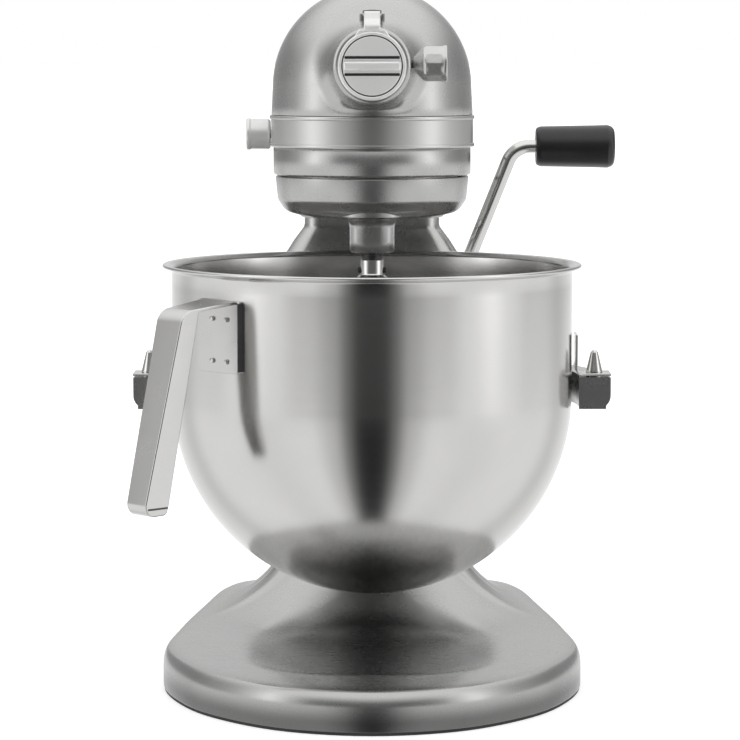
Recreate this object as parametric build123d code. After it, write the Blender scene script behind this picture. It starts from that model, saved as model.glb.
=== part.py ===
from build123d import *
import math
import os

# A bowl-lift stand mixer, in millimetres, +Z up.  The origin is on the ground, straight below the
# axis of the planetary drive and the bowl.  The user stands at -Y; the lift lever is at +X.

# ---------------------------------------------------------------- driving dimensions
# bowl
BOWL_RADIUS = 118.0
BOWL_WALL = 1.2
BOWL_CENTRE_Z = 178.7          # centre of the round bottom
BOWL_BOTTOM_Z = 62.0
RIM_RADIUS = 125.5
RIM_Z = 254.5
SUPPORT_TRAVEL = 32.0          # how far the lever lowers the bowl
HANDLE_AZIMUTH = 223.0         # direction of the handle, counted from +X through +Y
HANDLE_TOP_Z = 240.8           # where the strap leaves the plate
HANDLE_BEND_Z = 236.4          # outer corner between the strap and the grip
HANDLE_LOW_Z = 122.0
HANDLE_WEB_TOP = 154.6         # distance of the grip's outer face from the bowl axis
HANDLE_WEB_LOW = 182.2
HANDLE_HALF_PLATE = 17.6
HANDLE_HALF_STRAP = 15.0
HANDLE_HALF_TOP = 11.0
HANDLE_HALF_LOW = 8.6
HANDLE_DEPTH_TOP = 11.0
HANDLE_DEPTH_LOW = 18.0
HANDLE_SHEET = 1.8

# base and column
BASE_Z0 = 3.0                  # underside of the casting
BASE_EDGE_Z = 25.0
BASE_WALL = 5.0
BASE_HALF_WIDTH = 125.5
BASE_HALF_LENGTH = 184.0
BASE_MIDDLE_Y = 48.0
BASE_HALF_OUTLINE = [(50, -122.5), (89, -88), (112, -48), (125.3, 5), (124.5, 70), (117, 135), (105, 185),
                     (84, 214), (46, 229)]
BASE_FRONT_Y = -135.7
BASE_REAR_Y = 232.0
FOOT_RADIUS = 12.0
FOOT_SPOTS = [(0.0, 0.0), (-92.0, -58.0), (92.0, -58.0), (-72.0, 190.0), (72.0, 190.0)]
COLUMN_FRONT_Y = 141.0
COLUMN_BACK_Y = 226.0
COLUMN_HALF_FRONT = 59.0
COLUMN_HALF_REAR = 40.0
COLUMN_Z0 = 78.0
SHOULDER_Z = 254.0
NECK_Z = 269.0
COLUMN_TOP_Z = 277.0
COLUMN_WALL = 4.0

# head
HEAD_RADIUS = 58.5             # the round top
HEAD_CENTRE_Z = 361.0
BAND_TOP_Z = 344.0
BAND_BOTTOM_Z = 325.5
GEARCASE_Z = 309.0
HEAD_HALF = 59.4               # half width where the dome meets the band
HEAD_WALL = 3.5
HEAD_JOINT_Y = 178.0           # where the rear end cover starts
HEAD_BACK_Y = 235.0
# (y, scale) of the rear end cover's sections
TAIL = [(HEAD_JOINT_Y + 0.3, 1.0), (195.0, 0.985), (212.0, 0.925), (225.0, 0.81), (232.0, 0.67),
        (HEAD_BACK_Y, 0.5)]
REAR_SCREW_Z = 340.0
FLANGE_Z = 278.0

# attachment hub
HUB_Z = 373.3
HUB_FACE_Y = -83.5
HUB_RADIUS = 22.2
HUB_BORE = 16.5
HUB_BORE_END_Y = -62.0
SOCKET_RADIUS = 13.0
HUB_WALL_Y = -50.0             # front of the wall that holds the hub's bush
HUB_WALL = 7.0
COVER_RADIUS = 17.2
HINGE_Y = -44.0
HINGE_Z = 401.5
HINGE_PIN_RADIUS = 1.6
KNOB_Y = -74.0
KNOB_Z = 374.5
KNOB_X0 = 23.3
KNOB_X1 = 42.6
KNOB_FACETS = 10

# drive train
BEATER_OFFSET = 33.0
RING_TEETH = 64
AGITATOR_TEETH = 20
AGITATOR_MODULE = 1.5
BEVEL_GEAR_TEETH = 40
BEVEL_PINION_TEETH = 12
BEVEL_MODULE = 1.9
BEVEL_FACE = 9.0
SPUR_TEETH = 36
MOTOR_PINION_TEETH = 12
SPUR_MODULE = 1.0
MOTOR_Z = HUB_Z - SPUR_MODULE * (SPUR_TEETH + MOTOR_PINION_TEETH) / 2
RUN = 0.05                     # radial running clearance of shafts
SHAFT = 5.0                    # radius of the layshaft and hub shaft
MOTOR_SHAFT = 4.0              # radius of the motor shaft
PLANET_SHAFT = 7.0
BEATER_SHAFT = 4.5

# lift
LEVER_Y = 180.0
LEVER_Z = 240.0
ROD_RADIUS = 4.4
GRIP_Z = 320.0
GRIP_RADIUS = 13.8
GRIP_START = 14.0              # from the rod's bend corner to the grip's inner end
GRIP_LENGTH = 50.5
CRANK_RADIUS = 20.0
CRANK_ANGLE = 50.0
CRANK_PIN = 4.0
GUIDE_X = 22.0
GUIDE_Y = 158.0
GUIDE_RADIUS = 4.0
ARM_INNER = 123.0
ARM_OUTER = 139.0
ARM_Z0 = 171.0
ARM_Z1 = 189.6
PIN_X = 132.0

# speed control
SPEED_Y = 28.0
SPEED_Z = 332.0
SPEED_TRAVEL = 44.0


# ---------------------------------------------------------------- helpers
def block(x0, x1, y0, y1, z0, z1):
    """A box between two corners."""
    return Pos((x0 + x1) / 2, (y0 + y1) / 2, (z0 + z1) / 2) * Box(x1 - x0, y1 - y0, z1 - z0)


def cylinder_z(radius, z0, z1, x=0.0, y=0.0):
    return Pos(x, y, (z0 + z1) / 2) * Cylinder(radius, z1 - z0)


def cylinder_y(radius, y0, y1, x=0.0, z=0.0):
    return Pos(x, (y0 + y1) / 2, z) * Rot(90, 0, 0) * Cylinder(radius, y1 - y0)


def cylinder_x(radius, x0, x1, y=0.0, z=0.0):
    return Pos((x0 + x1) / 2, y, z) * Rot(0, 90, 0) * Cylinder(radius, x1 - x0)


def tube_y(outer, inner, y0, y1, x=0.0, z=0.0):
    return cylinder_y(outer, y0, y1, x, z) - cylinder_y(inner, y0 - 1, y1 + 1, x, z)


def along_z(face, z0, z1):
    return extrude(Pos(0, 0, z0) * face, z1 - z0)


def along_y(face, y0, y1):
    """Extrude a face drawn in (x, z) from y0 to y1."""
    return extrude(Pos(0, y1, 0) * (Plane.XZ * face), y1 - y0)


def along_x(face, x0, x1):
    """Extrude a face drawn in (y, z) from x0 to x1."""
    return extrude(Pos(x0, 0, 0) * (Plane.YZ * face), x1 - x0)


def polygon(points):
    return make_face(Polyline(*points, close=True))


def turned_z(points, arc=360.0):
    """Turn an outline given as (radius, z) about the Z axis."""
    outline = [(r, 0, z) for r, z in points]
    return revolve(polygon(outline), Axis.Z, arc)


def turned_y(points, x=0.0, z=0.0):
    """Turn an outline given as (radius, y) about an axis parallel to Y through (x, z)."""
    outline = [(r, y, 0) for r, y in points]
    return Pos(x, 0, z) * revolve(polygon(outline), Axis.Y)


def turned_x(points, y=0.0, z=0.0):
    """Turn an outline given as (x, radius) about an axis parallel to X through (y, z)."""
    outline = [(x, r, 0) for x, r in points]
    return Pos(0, y, z) * revolve(polygon(outline), Axis.X)


def both_sides(shape):
    return shape + mirror(shape, Plane.YZ)


def tapered_outline(half_front, half_rear, y_front, y_back, r_front, r_rear):
    """A rounded plan outline that narrows towards the back."""
    corners = [(-half_front, y_front), (half_front, y_front), (half_rear, y_back), (-half_rear, y_back)]
    face = polygon(corners)
    front = face.vertices().sort_by(Axis.Y)[:2]
    face = fillet(front, r_front)
    rear = face.vertices().sort_by(Axis.Y)[-2:]
    return fillet(rear, r_rear)


# ---------------------------------------------------------------- base
def base_outline(inset=0.0):
    """Plan of the base: a broad rounded front that narrows a little to a round back."""
    points = [(0, BASE_FRONT_Y)] + BASE_HALF_OUTLINE + [(0, BASE_REAR_Y)]
    points += [(-x, y) for x, y in reversed(BASE_HALF_OUTLINE)]
    wide = 1 - inset / BASE_HALF_WIDTH
    long = 1 - inset / BASE_HALF_LENGTH
    scaled = [(x * wide, BASE_MIDDLE_Y + (y - BASE_MIDDLE_Y) * long) for x, y in points]
    return make_face(Spline(*scaled, periodic=True))


def base_casting():
    outline = base_outline()
    pan = along_z(outline, BASE_Z0, BASE_EDGE_Z)
    top = pan.faces().sort_by(Axis.Z)[-1]
    pan = fillet(top.edges(), 9.0)
    foot = [
        (26.0, 23.0, 94.0, 92.0, 66.0, 221.0, 62.0, 56.0),
        (0.0, 36.0, 82.0, 74.0, 103.0, 224.0, 40.0, 46.0),
        (0.0, 50.0, 69.0, 56.0, 124.0, 225.5, 24.0, 36.0),
        (0.0, COLUMN_Z0, COLUMN_HALF_FRONT, COLUMN_HALF_REAR, COLUMN_FRONT_Y, COLUMN_BACK_Y, 12.0, 28.0),
    ]
    sections = [Pos(0, 0, row[1]) * tapered_outline(*row[2:]) for row in foot]
    flare = loft(sections)
    dish = Pos(0, 0, BASE_EDGE_Z + 396.5) * Sphere(400.0)
    cavity = along_z(base_outline(BASE_WALL), 0, BASE_EDGE_Z - BASE_WALL - 4)
    well = along_z(tapered_outline(44.0, 28.0, 152.0, 214.0, 8.0, 18.0), 10, COLUMN_Z0 + 1)
    casting = pan - dish + flare - cavity - well
    for x, y in column_bolt_spots():
        casting -= cylinder_z(3.2, 0, COLUMN_Z0 + 1, x, y)
    return casting


def column_bolt_spots():
    return [(-49.0, 152.0), (49.0, 152.0), (-33.0, 212.0), (33.0, 212.0)]


def base_bottom_plate():
    plate = along_z(base_outline(BASE_WALL + 0.4), BASE_Z0, BASE_Z0 + 1.5)
    for x, y in FOOT_SPOTS:
        plate -= cylinder_z(2.2, 0, 10, x, y)
    for x, y in column_bolt_spots():
        plate -= cylinder_z(7.0, 0, 10, x, y)
    return plate


def base_feet():
    """Turned rubber feet under the plate, each with a sunk screw hole."""
    outline = [(4.5, 0), (FOOT_RADIUS - 1.5, 0), (FOOT_RADIUS, 1.0), (FOOT_RADIUS, BASE_Z0)]
    outline += [(2.2, BASE_Z0), (2.2, 2.0), (4.5, 2.0)]
    return [Pos(x, y, 0) * turned_z(outline) for x, y in FOOT_SPOTS]


def base_screws():
    outline = [(0, 0.6), (4.0, 0.6), (4.0, 2.0), (2.2, 2.0), (2.2, 12.0), (0, 12.0)]
    return [Pos(x, y, 0) * turned_z(outline) for x, y in FOOT_SPOTS]


def column_bolts():
    """Bolts from below that hold the column on the base."""
    outline = [(0, 5.0), (6.0, 5.0), (6.0, 10.0), (3.2, 10.0), (3.2, COLUMN_Z0 + 14), (0, COLUMN_Z0 + 14)]
    return [Pos(x, y, 0) * turned_z(outline) for x, y in column_bolt_spots()]


def screw_bosses():
    """Posts in the base that the foot screws go into."""
    posts = []
    for x, y in FOOT_SPOTS:
        post = cylinder_z(6.0, BASE_Z0 + 1.5, BASE_EDGE_Z - BASE_WALL - 3.9, x, y)
        posts.append(post - cylinder_z(2.2, 0, 12.0, x, y))
    return posts


# ---------------------------------------------------------------- column
def column_casting():
    plan = (COLUMN_HALF_FRONT, COLUMN_HALF_REAR, COLUMN_FRONT_Y, COLUMN_BACK_Y, 12.0, 28.0)
    neck = (44.8, 33.0, 148.0, 221.0, 10.0, 24.0)
    column = along_z(tapered_outline(*plan), COLUMN_Z0, SHOULDER_Z)
    shoulder = loft([
        Pos(0, 0, SHOULDER_Z) * tapered_outline(*plan),
        Pos(0, 0, NECK_Z) * tapered_outline(*neck),
    ], ruled=True)
    column += shoulder
    column += along_z(tapered_outline(*neck), NECK_Z, COLUMN_TOP_Z)
    w = COLUMN_WALL
    inner = tapered_outline(COLUMN_HALF_FRONT - w, COLUMN_HALF_REAR - w, COLUMN_FRONT_Y + w,
                            COLUMN_BACK_Y - w, 8.0, 24.0)
    column -= along_z(inner, COLUMN_Z0 + 6, SHOULDER_Z - 2)
    inner_top = tapered_outline(38.0, 26.0, 154.0, 215.0, 6.0, 20.0)
    column -= along_z(inner_top, SHOULDER_Z - 3, COLUMN_TOP_Z + 1)
    for x, y in column_bolt_spots():
        boss = cylinder_z(7.0, COLUMN_Z0 + 3, COLUMN_Z0 + 18, x, y)
        boss &= along_z(tapered_outline(*plan), COLUMN_Z0, COLUMN_Z0 + 18)
        column += boss
        column -= cylinder_z(3.2, COLUMN_Z0 - 1, COLUMN_Z0 + 14, x, y)
    # window for the carriage web, lever shaft holes, inlet hole
    column -= block(-17, 17, 130, 160, 155 - SUPPORT_TRAVEL - 2, 207)
    column -= cylinder_x(8.0, 30, 70, LEVER_Y, LEVER_Z)
    column -= cylinder_x(8.0, -70, -30, LEVER_Y, LEVER_Z)
    column -= cylinder_y(9.0, 210, 230, 0, 120)
    return column


def guide_rods():
    """Two upright rods that the carriage slides on, held in foot and top blocks."""
    return [cylinder_z(GUIDE_RADIUS, 88, 250, x, GUIDE_Y) for x in (-GUIDE_X, GUIDE_X)]


def guide_blocks():
    """Blocks on the column's front wall that hold the guide rods' ends."""
    low = block(-34, 34, COLUMN_FRONT_Y + COLUMN_WALL, 168, 84, 100)
    high = block(-34, 34, COLUMN_FRONT_Y + COLUMN_WALL, 168, 240, 250)
    high -= cylinder_z(3.0, 230, 260, 0, GUIDE_Y)
    shape = low + high
    for x in (-GUIDE_X, GUIDE_X):
        shape -= cylinder_z(GUIDE_RADIUS, 88, 260, x, GUIDE_Y)
    return [shape]


def stop_screw():
    """Adjusting screw that sets how high the bowl stands."""
    return cylinder_z(3.0, 208.3, 262, 0, GUIDE_Y) - block(-0.6, 0.6, 150, 166, 260, 263)


def lever_bushes():
    """Bushes in both side walls that carry the lever's shaft."""
    bushes = []
    for x0, x1 in ((46.0, 54.0), (-54.0, -46.0)):
        ring = cylinder_x(8.0, x0, x1, LEVER_Y, LEVER_Z)
        ring &= along_z(tapered_outline(COLUMN_HALF_FRONT + 2, COLUMN_HALF_REAR + 2, COLUMN_FRONT_Y - 2,
                                        COLUMN_BACK_Y + 2, 12.0, 28.0), LEVER_Z - 20, LEVER_Z + 14)
        bushes.append(ring - cylinder_x(ROD_RADIUS + RUN, x0 - 1, x1 + 1, LEVER_Y, LEVER_Z))
    return bushes


def inlet_gland():
    """Ribbed gland that the supply lead would enter, low on the column's back."""
    outline = [(3.6, 218), (9.0, 218), (9.0, 226.5), (12.0, 226.5), (12.0, 229.0), (9.5, 230.0)]
    outline += [(8.6, 234.0), (6.0, 234.0), (3.6, 234.0)]
    return turned_y(outline, 0, 120)


# ---------------------------------------------------------------- bowl support
def support_yoke():
    """The U-shaped arms, their pads and the web that goes through the column's window."""
    ring = cylinder_z(ARM_OUTER, ARM_Z0, ARM_Z1) - cylinder_z(ARM_INNER, 160, 200)
    ring -= block(-200, 200, -200, -14, 150, 210)
    pads = block(ARM_INNER, 141.0, -14, 16, ARM_Z0, ARM_Z1)
    lower = pads.edges().filter_by(Axis.Y).sort_by(lambda e: e.center().Z - e.center().X)[0]
    pads = fillet(lower, 8.0)
    yoke = ring + both_sides(pads)
    back = block(-44, 44, 126.0, ARM_OUTER, 156, 214)
    back -= cylinder_z(ARM_INNER, 150, 220) + cylinder_y(4.6, 120, 131, 0, 204)
    yoke += back
    web = block(-14, 14, ARM_OUTER - 2, 151.0, 155, 205)
    carriage = block(-34, 34, 149.0, 168.0, 152, 208)
    yoke += web + carriage
    for x in (-GUIDE_X, GUIDE_X):
        yoke -= cylinder_z(GUIDE_RADIUS + RUN, 140, 220, x, GUIDE_Y)
    for x in (-PIN_X, PIN_X):
        yoke -= cylinder_z(3.0, 178, 195, x, 0)
    return yoke


def lift_plate():
    """Plate on the carriage with the slot that the crank pin lifts."""
    low = block(6, 12, 168.0, 208, 166, 182)
    riser = block(6, 12, 188, 208, 166, 265)
    pin_z = LEVER_Z + CRANK_RADIUS * math.sin(math.radians(CRANK_ANGLE))
    slot = block(5, 13, 188 - 1, 205.5, pin_z - CRANK_PIN - 1.4, pin_z + CRANK_PIN + 1.4)
    return low + riser - slot


def locating_pins():
    outline = [(0, 178.0), (3.0, 178.0), (3.0, ARM_Z1), (4.85, ARM_Z1), (4.85, 192.4), (2.2, 203.4)]
    outline += [(1.2, 204.6), (0, 204.6)]
    return [Pos(x, 0, 0) * turned_z(outline) for x in (-PIN_X, PIN_X)]


def latch_spring():
    """Leaf spring on the support that snaps over the bowl's rear pin."""
    leaf = block(-10, 10, 124.6, 126.0, 190, 216) - cylinder_y(3.4, 120, 130, 0, 204)
    return leaf + block(-10, 10, 124.6, 128.0, 214.6, 216)


# ---------------------------------------------------------------- bowl
def bowl_outline(radius):
    """Half section of the bowl's surface: flat bottom, round, straight side."""
    depth = BOWL_CENTRE_Z - BOWL_BOTTOM_Z - (BOWL_RADIUS - radius)
    flat = math.sqrt(radius ** 2 - depth ** 2)
    mid = math.radians(-40)
    bottom_z = BOWL_CENTRE_Z - depth
    floor = Line((0, 0, bottom_z), (flat, 0, bottom_z))
    middle = (radius * math.cos(mid), 0, BOWL_CENTRE_Z + radius * math.sin(mid))
    round_part = ThreePointArc((flat, 0, bottom_z), middle, (radius, 0, BOWL_CENTRE_Z))
    return floor, round_part, radius


def bowl_shell():
    floor, round_part, radius = bowl_outline(BOWL_RADIUS)
    side = Line((radius, 0, BOWL_CENTRE_Z), (radius, 0, RIM_Z))
    roof = Line((radius, 0, RIM_Z), (0, 0, RIM_Z))
    axis = Line((0, 0, RIM_Z), (0, 0, BOWL_BOTTOM_Z))
    outer = revolve(make_face(floor + round_part + side + roof + axis), Axis.Z)
    floor, round_part, radius = bowl_outline(BOWL_RADIUS - BOWL_WALL)
    top = RIM_Z + 5
    side = Line((radius, 0, BOWL_CENTRE_Z), (radius, 0, top))
    roof = Line((radius, 0, top), (0, 0, top))
    axis = Line((0, 0, top), (0, 0, BOWL_BOTTOM_Z + BOWL_WALL))
    inner = revolve(make_face(floor + round_part + side + roof + axis), Axis.Z)
    r = BOWL_RADIUS
    lip = [(r - BOWL_WALL, 248.0), (r, 248.0), (r + 1.8, 250.6), (RIM_RADIUS - 1.2, 251.8),
           (RIM_RADIUS, 253.0), (RIM_RADIUS - 0.4, RIM_Z), (r + 0.6, 253.6), (r - BOWL_WALL, 251.5)]
    shell = outer - inner
    shell -= cylinder_z(RIM_RADIUS, 251.5, RIM_Z + 2)
    return shell + turned_z(lip)


def bowl_side_brackets():
    """Plates welded to the bowl, with flanges that sit on the pads over the locating pins."""
    plate = block(112, 120.8, -13, 13, 190, 215)
    edge = plate.edges().filter_by(Axis.X).sort_by(Axis.Z)[-2:]
    plate = fillet(edge, 5.0)
    flange = block(116, 141, -11, 11, ARM_Z1, 192.0)
    corners = flange.edges().filter_by(Axis.Z).sort_by(Axis.X)[-2:]
    flange = fillet(corners, 5.0)
    flange -= cylinder_z(5.1, 180, 200, PIN_X, 0)
    bracket = plate + flange - cylinder_z(BOWL_RADIUS, 150, 240)
    return [bracket, mirror(bracket, Plane.YZ)]


def bowl_rear_lug():
    plate = block(-12, 12, 112, 121.0, 194, 214)
    plate = fillet(plate.edges().filter_by(Axis.Y), 4.0)
    plate -= cylinder_z(BOWL_RADIUS, 150, 240)
    return plate + cylinder_y(2.9, 120.5, 127.5, 0, 204)


def handle_profile(inset):
    """Side outline of the grip channel in (distance from the bowl axis, z)."""
    slope = (HANDLE_WEB_LOW - HANDLE_WEB_TOP) / (HANDLE_BEND_Z - HANDLE_LOW_Z)
    top, low = HANDLE_BEND_Z - inset, HANDLE_LOW_Z + inset
    outer_top = HANDLE_WEB_TOP + slope * (HANDLE_BEND_Z - top) - inset
    outer_low = HANDLE_WEB_TOP + slope * (HANDLE_BEND_Z - low) - inset
    open_side = 40 if inset else 0
    return [(outer_top, top), (outer_low, low), (outer_low - HANDLE_DEPTH_LOW - open_side, low),
            (outer_top - HANDLE_DEPTH_TOP - open_side, top)]


def handle_front(inset):
    """Front outline of the grip channel in (across, z), narrower at the bottom."""
    top, low = HANDLE_HALF_TOP - inset, HANDLE_HALF_LOW - inset
    return [(-top, HANDLE_BEND_Z + 4), (top, HANDLE_BEND_Z + 4), (low, HANDLE_LOW_Z - 4), (-low, HANDLE_LOW_Z - 4)]


def handle_channel():
    """Deep channel of the grip, open towards the bowl."""
    channel = along_y(polygon(handle_profile(0)), -20, 20) & along_x(polygon(handle_front(0)), 90, 200)
    hollow = along_y(polygon(handle_profile(HANDLE_SHEET)), -20, 20)
    hollow &= along_x(polygon(handle_front(HANDLE_SHEET)), 90, 200)
    ends = [edge for edge in channel.edges() if edge.center().X > 150 and abs(edge.center().Y) < 0.1]
    outer = sorted(ends, key=lambda edge: edge.center().X)
    channel = fillet([outer[0], outer[-1]], 6.0)
    return channel - hollow


def handle_strap():
    """Strap from the plate out to the bend, narrower towards the bend."""
    drop = HANDLE_TOP_Z - HANDLE_BEND_Z
    end = HANDLE_WEB_TOP - 5
    side = polygon([(117, HANDLE_TOP_Z), (end, HANDLE_TOP_Z - drop), (end, HANDLE_TOP_Z - drop - HANDLE_SHEET),
                    (117, HANDLE_TOP_Z - HANDLE_SHEET)])
    plan = polygon([(110, HANDLE_HALF_STRAP), (end + 4, HANDLE_HALF_TOP), (end + 4, -HANDLE_HALF_TOP),
                    (110, -HANDLE_HALF_STRAP)])
    return along_y(side, -20, 20) & along_z(plan, 200, 260)


def bowl_handle():
    """Bent sheet handle: plate on the bowl, strap over the top, and a channel to grip."""
    plate = block(110, 119.9, -HANDLE_HALF_PLATE, HANDLE_HALF_PLATE, 199.4, HANDLE_TOP_Z)
    corners = plate.edges().filter_by(Axis.X).sort_by(Axis.Z)[:2]
    plate = fillet(corners, 3.0)
    plate &= cylinder_z(BOWL_RADIUS + 1.8, 190, 250)
    handle = handle_channel() + handle_strap() + plate
    handle -= cylinder_z(BOWL_RADIUS, 100, 260)
    return Rot(0, 0, HANDLE_AZIMUTH) * handle


# ---------------------------------------------------------------- lift lever
def rod_path():
    """Centre line of the lever rod: shaft, incline beside the head, and grip spindle."""
    lean = math.radians(21.7)
    foot_x = 59.8
    top_x = foot_x + (GRIP_Z - LEVER_Z) * math.tan(lean)
    points = [(28.0, LEVER_Y, LEVER_Z), (foot_x, LEVER_Y, LEVER_Z), (top_x, LEVER_Y, GRIP_Z),
              (top_x + 55.0, LEVER_Y, GRIP_Z)]
    return FilletPolyline(*points, radius=[12.0, 15.0]), top_x


def lever_rod():
    path, top_x = rod_path()
    rod = sweep(Plane(origin=(28.0, LEVER_Y, LEVER_Z), z_dir=(1, 0, 0)) * Circle(ROD_RADIUS), path)
    return rod + cylinder_x(ROD_RADIUS, -52.0, 29.0, LEVER_Y, LEVER_Z)


def lever_grip():
    x0 = rod_path()[1] + GRIP_START
    r = GRIP_RADIUS
    outline = [(x0, ROD_RADIUS), (x0, r - 4.5), (x0 + 1.0, r - 2.0), (x0 + 3.5, r - 0.9), (x0 + 40.0, r - 0.2),
               (x0 + 46.0, r), (x0 + 49.0, r - 1.6), (x0 + GRIP_LENGTH, r - 5.5), (x0 + GRIP_LENGTH + 0.8, 0)]
    outline += [(x0 + 41.0, 0), (x0 + 41.0, ROD_RADIUS)]
    return turned_x(outline, LEVER_Y, GRIP_Z)


def lever_crank():
    """Arm and pin, clamped on the lever's shaft inside the column."""
    a = math.radians(CRANK_ANGLE)
    y = LEVER_Y + CRANK_RADIUS * math.cos(a)
    z = LEVER_Z + CRANK_RADIUS * math.sin(a)
    arm = cylinder_x(7.5, -3.0, 3.0, LEVER_Y, LEVER_Z) + cylinder_x(6.5, -3.0, 3.0, y, z)
    bar = Pos(0, (LEVER_Y + y) / 2, (LEVER_Z + z) / 2) * Rot(CRANK_ANGLE, 0, 0) * Box(6.0, CRANK_RADIUS, 12.0)
    arm += bar
    arm -= cylinder_x(ROD_RADIUS, -10, 10, LEVER_Y, LEVER_Z)
    return arm + cylinder_x(CRANK_PIN, 2.0, 14.5, y, z)


# ---------------------------------------------------------------- head shells
def dome_face(inset, z0):
    """Head section in (x, z): straight sides that lean in slightly, and a round top."""
    half = HEAD_HALF - inset
    r = HEAD_RADIUS - inset
    sides = Polyline((-r, HEAD_CENTRE_Z), (-half, z0), (half, z0), (r, HEAD_CENTRE_Z))
    top = ThreePointArc((r, HEAD_CENTRE_Z), (0, HEAD_CENTRE_Z + r), (-r, HEAD_CENTRE_Z))
    return make_face(sides + top)


def half_dome_face(inset, z0):
    half = HEAD_HALF - inset
    r = HEAD_RADIUS - inset
    a = math.radians(45)
    middle = (r * math.cos(a), 0, HEAD_CENTRE_Z + r * math.sin(a))
    sides = Polyline((0, 0, HEAD_CENTRE_Z + r), (0, 0, z0), (half, 0, z0), (r, 0, HEAD_CENTRE_Z))
    return make_face(sides + ThreePointArc((r, 0, HEAD_CENTRE_Z), middle, (0, 0, HEAD_CENTRE_Z + r)))


def nose(inset, z0):
    return revolve(half_dome_face(inset, z0), Axis.Z)


def plan_face(half, y_back):
    """Plan outline of the head's lower parts: round nose and straight sides."""
    return Circle(half) + Pos(0, y_back / 2) * Rectangle(2 * half, y_back)


def hub_boss():
    """Boss on the nose that flares into the dome."""
    outline = [(0, -44.0), (29.0, -44.0), (26.6, -58.0), (24.2, -64.0), (22.9, -70.0), (HUB_RADIUS, -77.0),
               (HUB_RADIUS, HUB_FACE_Y + 2.2), (HUB_RADIUS - 2.4, HUB_FACE_Y), (0, HUB_FACE_Y)]
    return turned_y(outline, 0, HUB_Z)


def head_upper_housing():
    shell = nose(0, BAND_TOP_Z) + along_y(dome_face(0, BAND_TOP_Z), 0, HEAD_JOINT_Y)
    shell += hub_boss() - block(-60, 60, -100, 0, 300, BAND_TOP_Z)
    ears = block(-7.4, 7.4, -50.0, -38.0, 390, 403.5)
    shell += fillet(ears.edges().filter_by(Axis.X).sort_by(Axis.Z)[-2:], 4.0)
    w = HEAD_WALL
    cavity = nose(w, BAND_TOP_Z - 5) + along_y(dome_face(w, BAND_TOP_Z - 5), 0, HEAD_JOINT_Y + 5)
    collar = cylinder_y(HUB_RADIUS, -80.0, HUB_WALL_Y + HUB_WALL, 0, HUB_Z)
    shell -= cavity - collar
    shell -= cylinder_y(HUB_BORE, HUB_FACE_Y - 5, HUB_BORE_END_Y, 0, HUB_Z)
    shell -= cylinder_y(SOCKET_RADIUS, HUB_BORE_END_Y - 1, HUB_WALL_Y, 0, HUB_Z)
    shell -= cylinder_y(9.0, HUB_WALL_Y - 1, -30.0, 0, HUB_Z)
    # room for the cover's knuckle and arm between the ears, and the pin hole
    shell -= block(-5.4, 5.4, -76.0, -38.5, 396.4, 410.0)
    shell -= cylinder_x(HINGE_PIN_RADIUS, -8, 8, HINGE_Y, HINGE_Z)
    shell -= cylinder_x(2.6, 0, 26.0, KNOB_Y, KNOB_Z)
    return shell


def hub_bush():
    """Bush in the back of the hub that carries the hub shaft."""
    return tube_y(9.0, SHAFT + RUN, HUB_WALL_Y, HUB_WALL_Y + HUB_WALL, 0, HUB_Z)


def hub_hinge_pin():
    return cylinder_x(HINGE_PIN_RADIUS, -7.2, 7.2, HINGE_Y, HINGE_Z)


def hub_cover():
    """Hinged disc over the hub bore, with a grip bar between two grooves."""
    y1 = HUB_FACE_Y - 0.4
    disc = turned_y([(0, y1), (COVER_RADIUS, y1), (COVER_RADIUS, y1 - 2.2), (COVER_RADIUS - 1.3, y1 - 3.6),
                     (0, y1 - 3.6)], 0, HUB_Z)
    for z in (HUB_Z - 3.6, HUB_Z + 3.6):
        disc -= block(-14.0, 14.0, y1 - 5.0, y1 - 1.6, z - 0.9, z + 0.9)
    disc += block(-15.2, 15.2, y1 - 5.4, y1 - 3.0, HUB_Z - 2.4, HUB_Z + 2.4)
    tab = block(-7.6, 7.6, y1 - 3.0, y1, HUB_Z + 14.0, 397.4)
    stem = block(-4.7, 4.7, y1 - 3.0, y1 + 1.0, 396.0, 401.6)
    top = [(y1 - 3.0, 397.9), (HINGE_Y, HINGE_Z - 2.6), (HINGE_Y, HINGE_Z + 2.6), (y1 - 3.0, 401.6)]
    arm = along_x(polygon(top), -4.7, 4.7)
    knuckle = cylinder_x(3.0, -4.7, 4.7, HINGE_Y, HINGE_Z)
    cover = disc + tab + stem + arm + knuckle
    return cover - cylinder_x(HINGE_PIN_RADIUS + RUN, -8, 8, HINGE_Y, HINGE_Z)


def knob_stud():
    """Clamping screw of the hub."""
    return cylinder_x(2.55, 17.0, 30.0, KNOB_Y, KNOB_Z)


def hub_knob():
    """Clamping knob: cone at the inner end, a faceted grip and a thin rim."""
    x0, x1 = KNOB_X0, KNOB_X1
    outline = [(x0, 0), (x0, 3.6), (x0 + 5.6, 9.4), (x0 + 6.6, 10.3), (x1 - 2.0, 10.3), (x1 - 1.6, 10.5),
               (x1 - 0.6, 10.5), (x1, 9.6), (x1, 0)]
    knob = turned_x(outline, KNOB_Y, KNOB_Z)
    facets = Rot(0, 90, 0) * RegularPolygon(10.35, KNOB_FACETS)
    grip = Pos(x0, KNOB_Y, KNOB_Z) * extrude(facets, x1 - 2.0 - x0)
    knob = (knob & grip) + (knob & block(x1 - 2.0, x1, KNOB_Y - 12, KNOB_Y + 12, KNOB_Z - 12, KNOB_Z + 12))
    return knob - cylinder_x(2.55, 17.0, 30.0, KNOB_Y, KNOB_Z)


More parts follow.
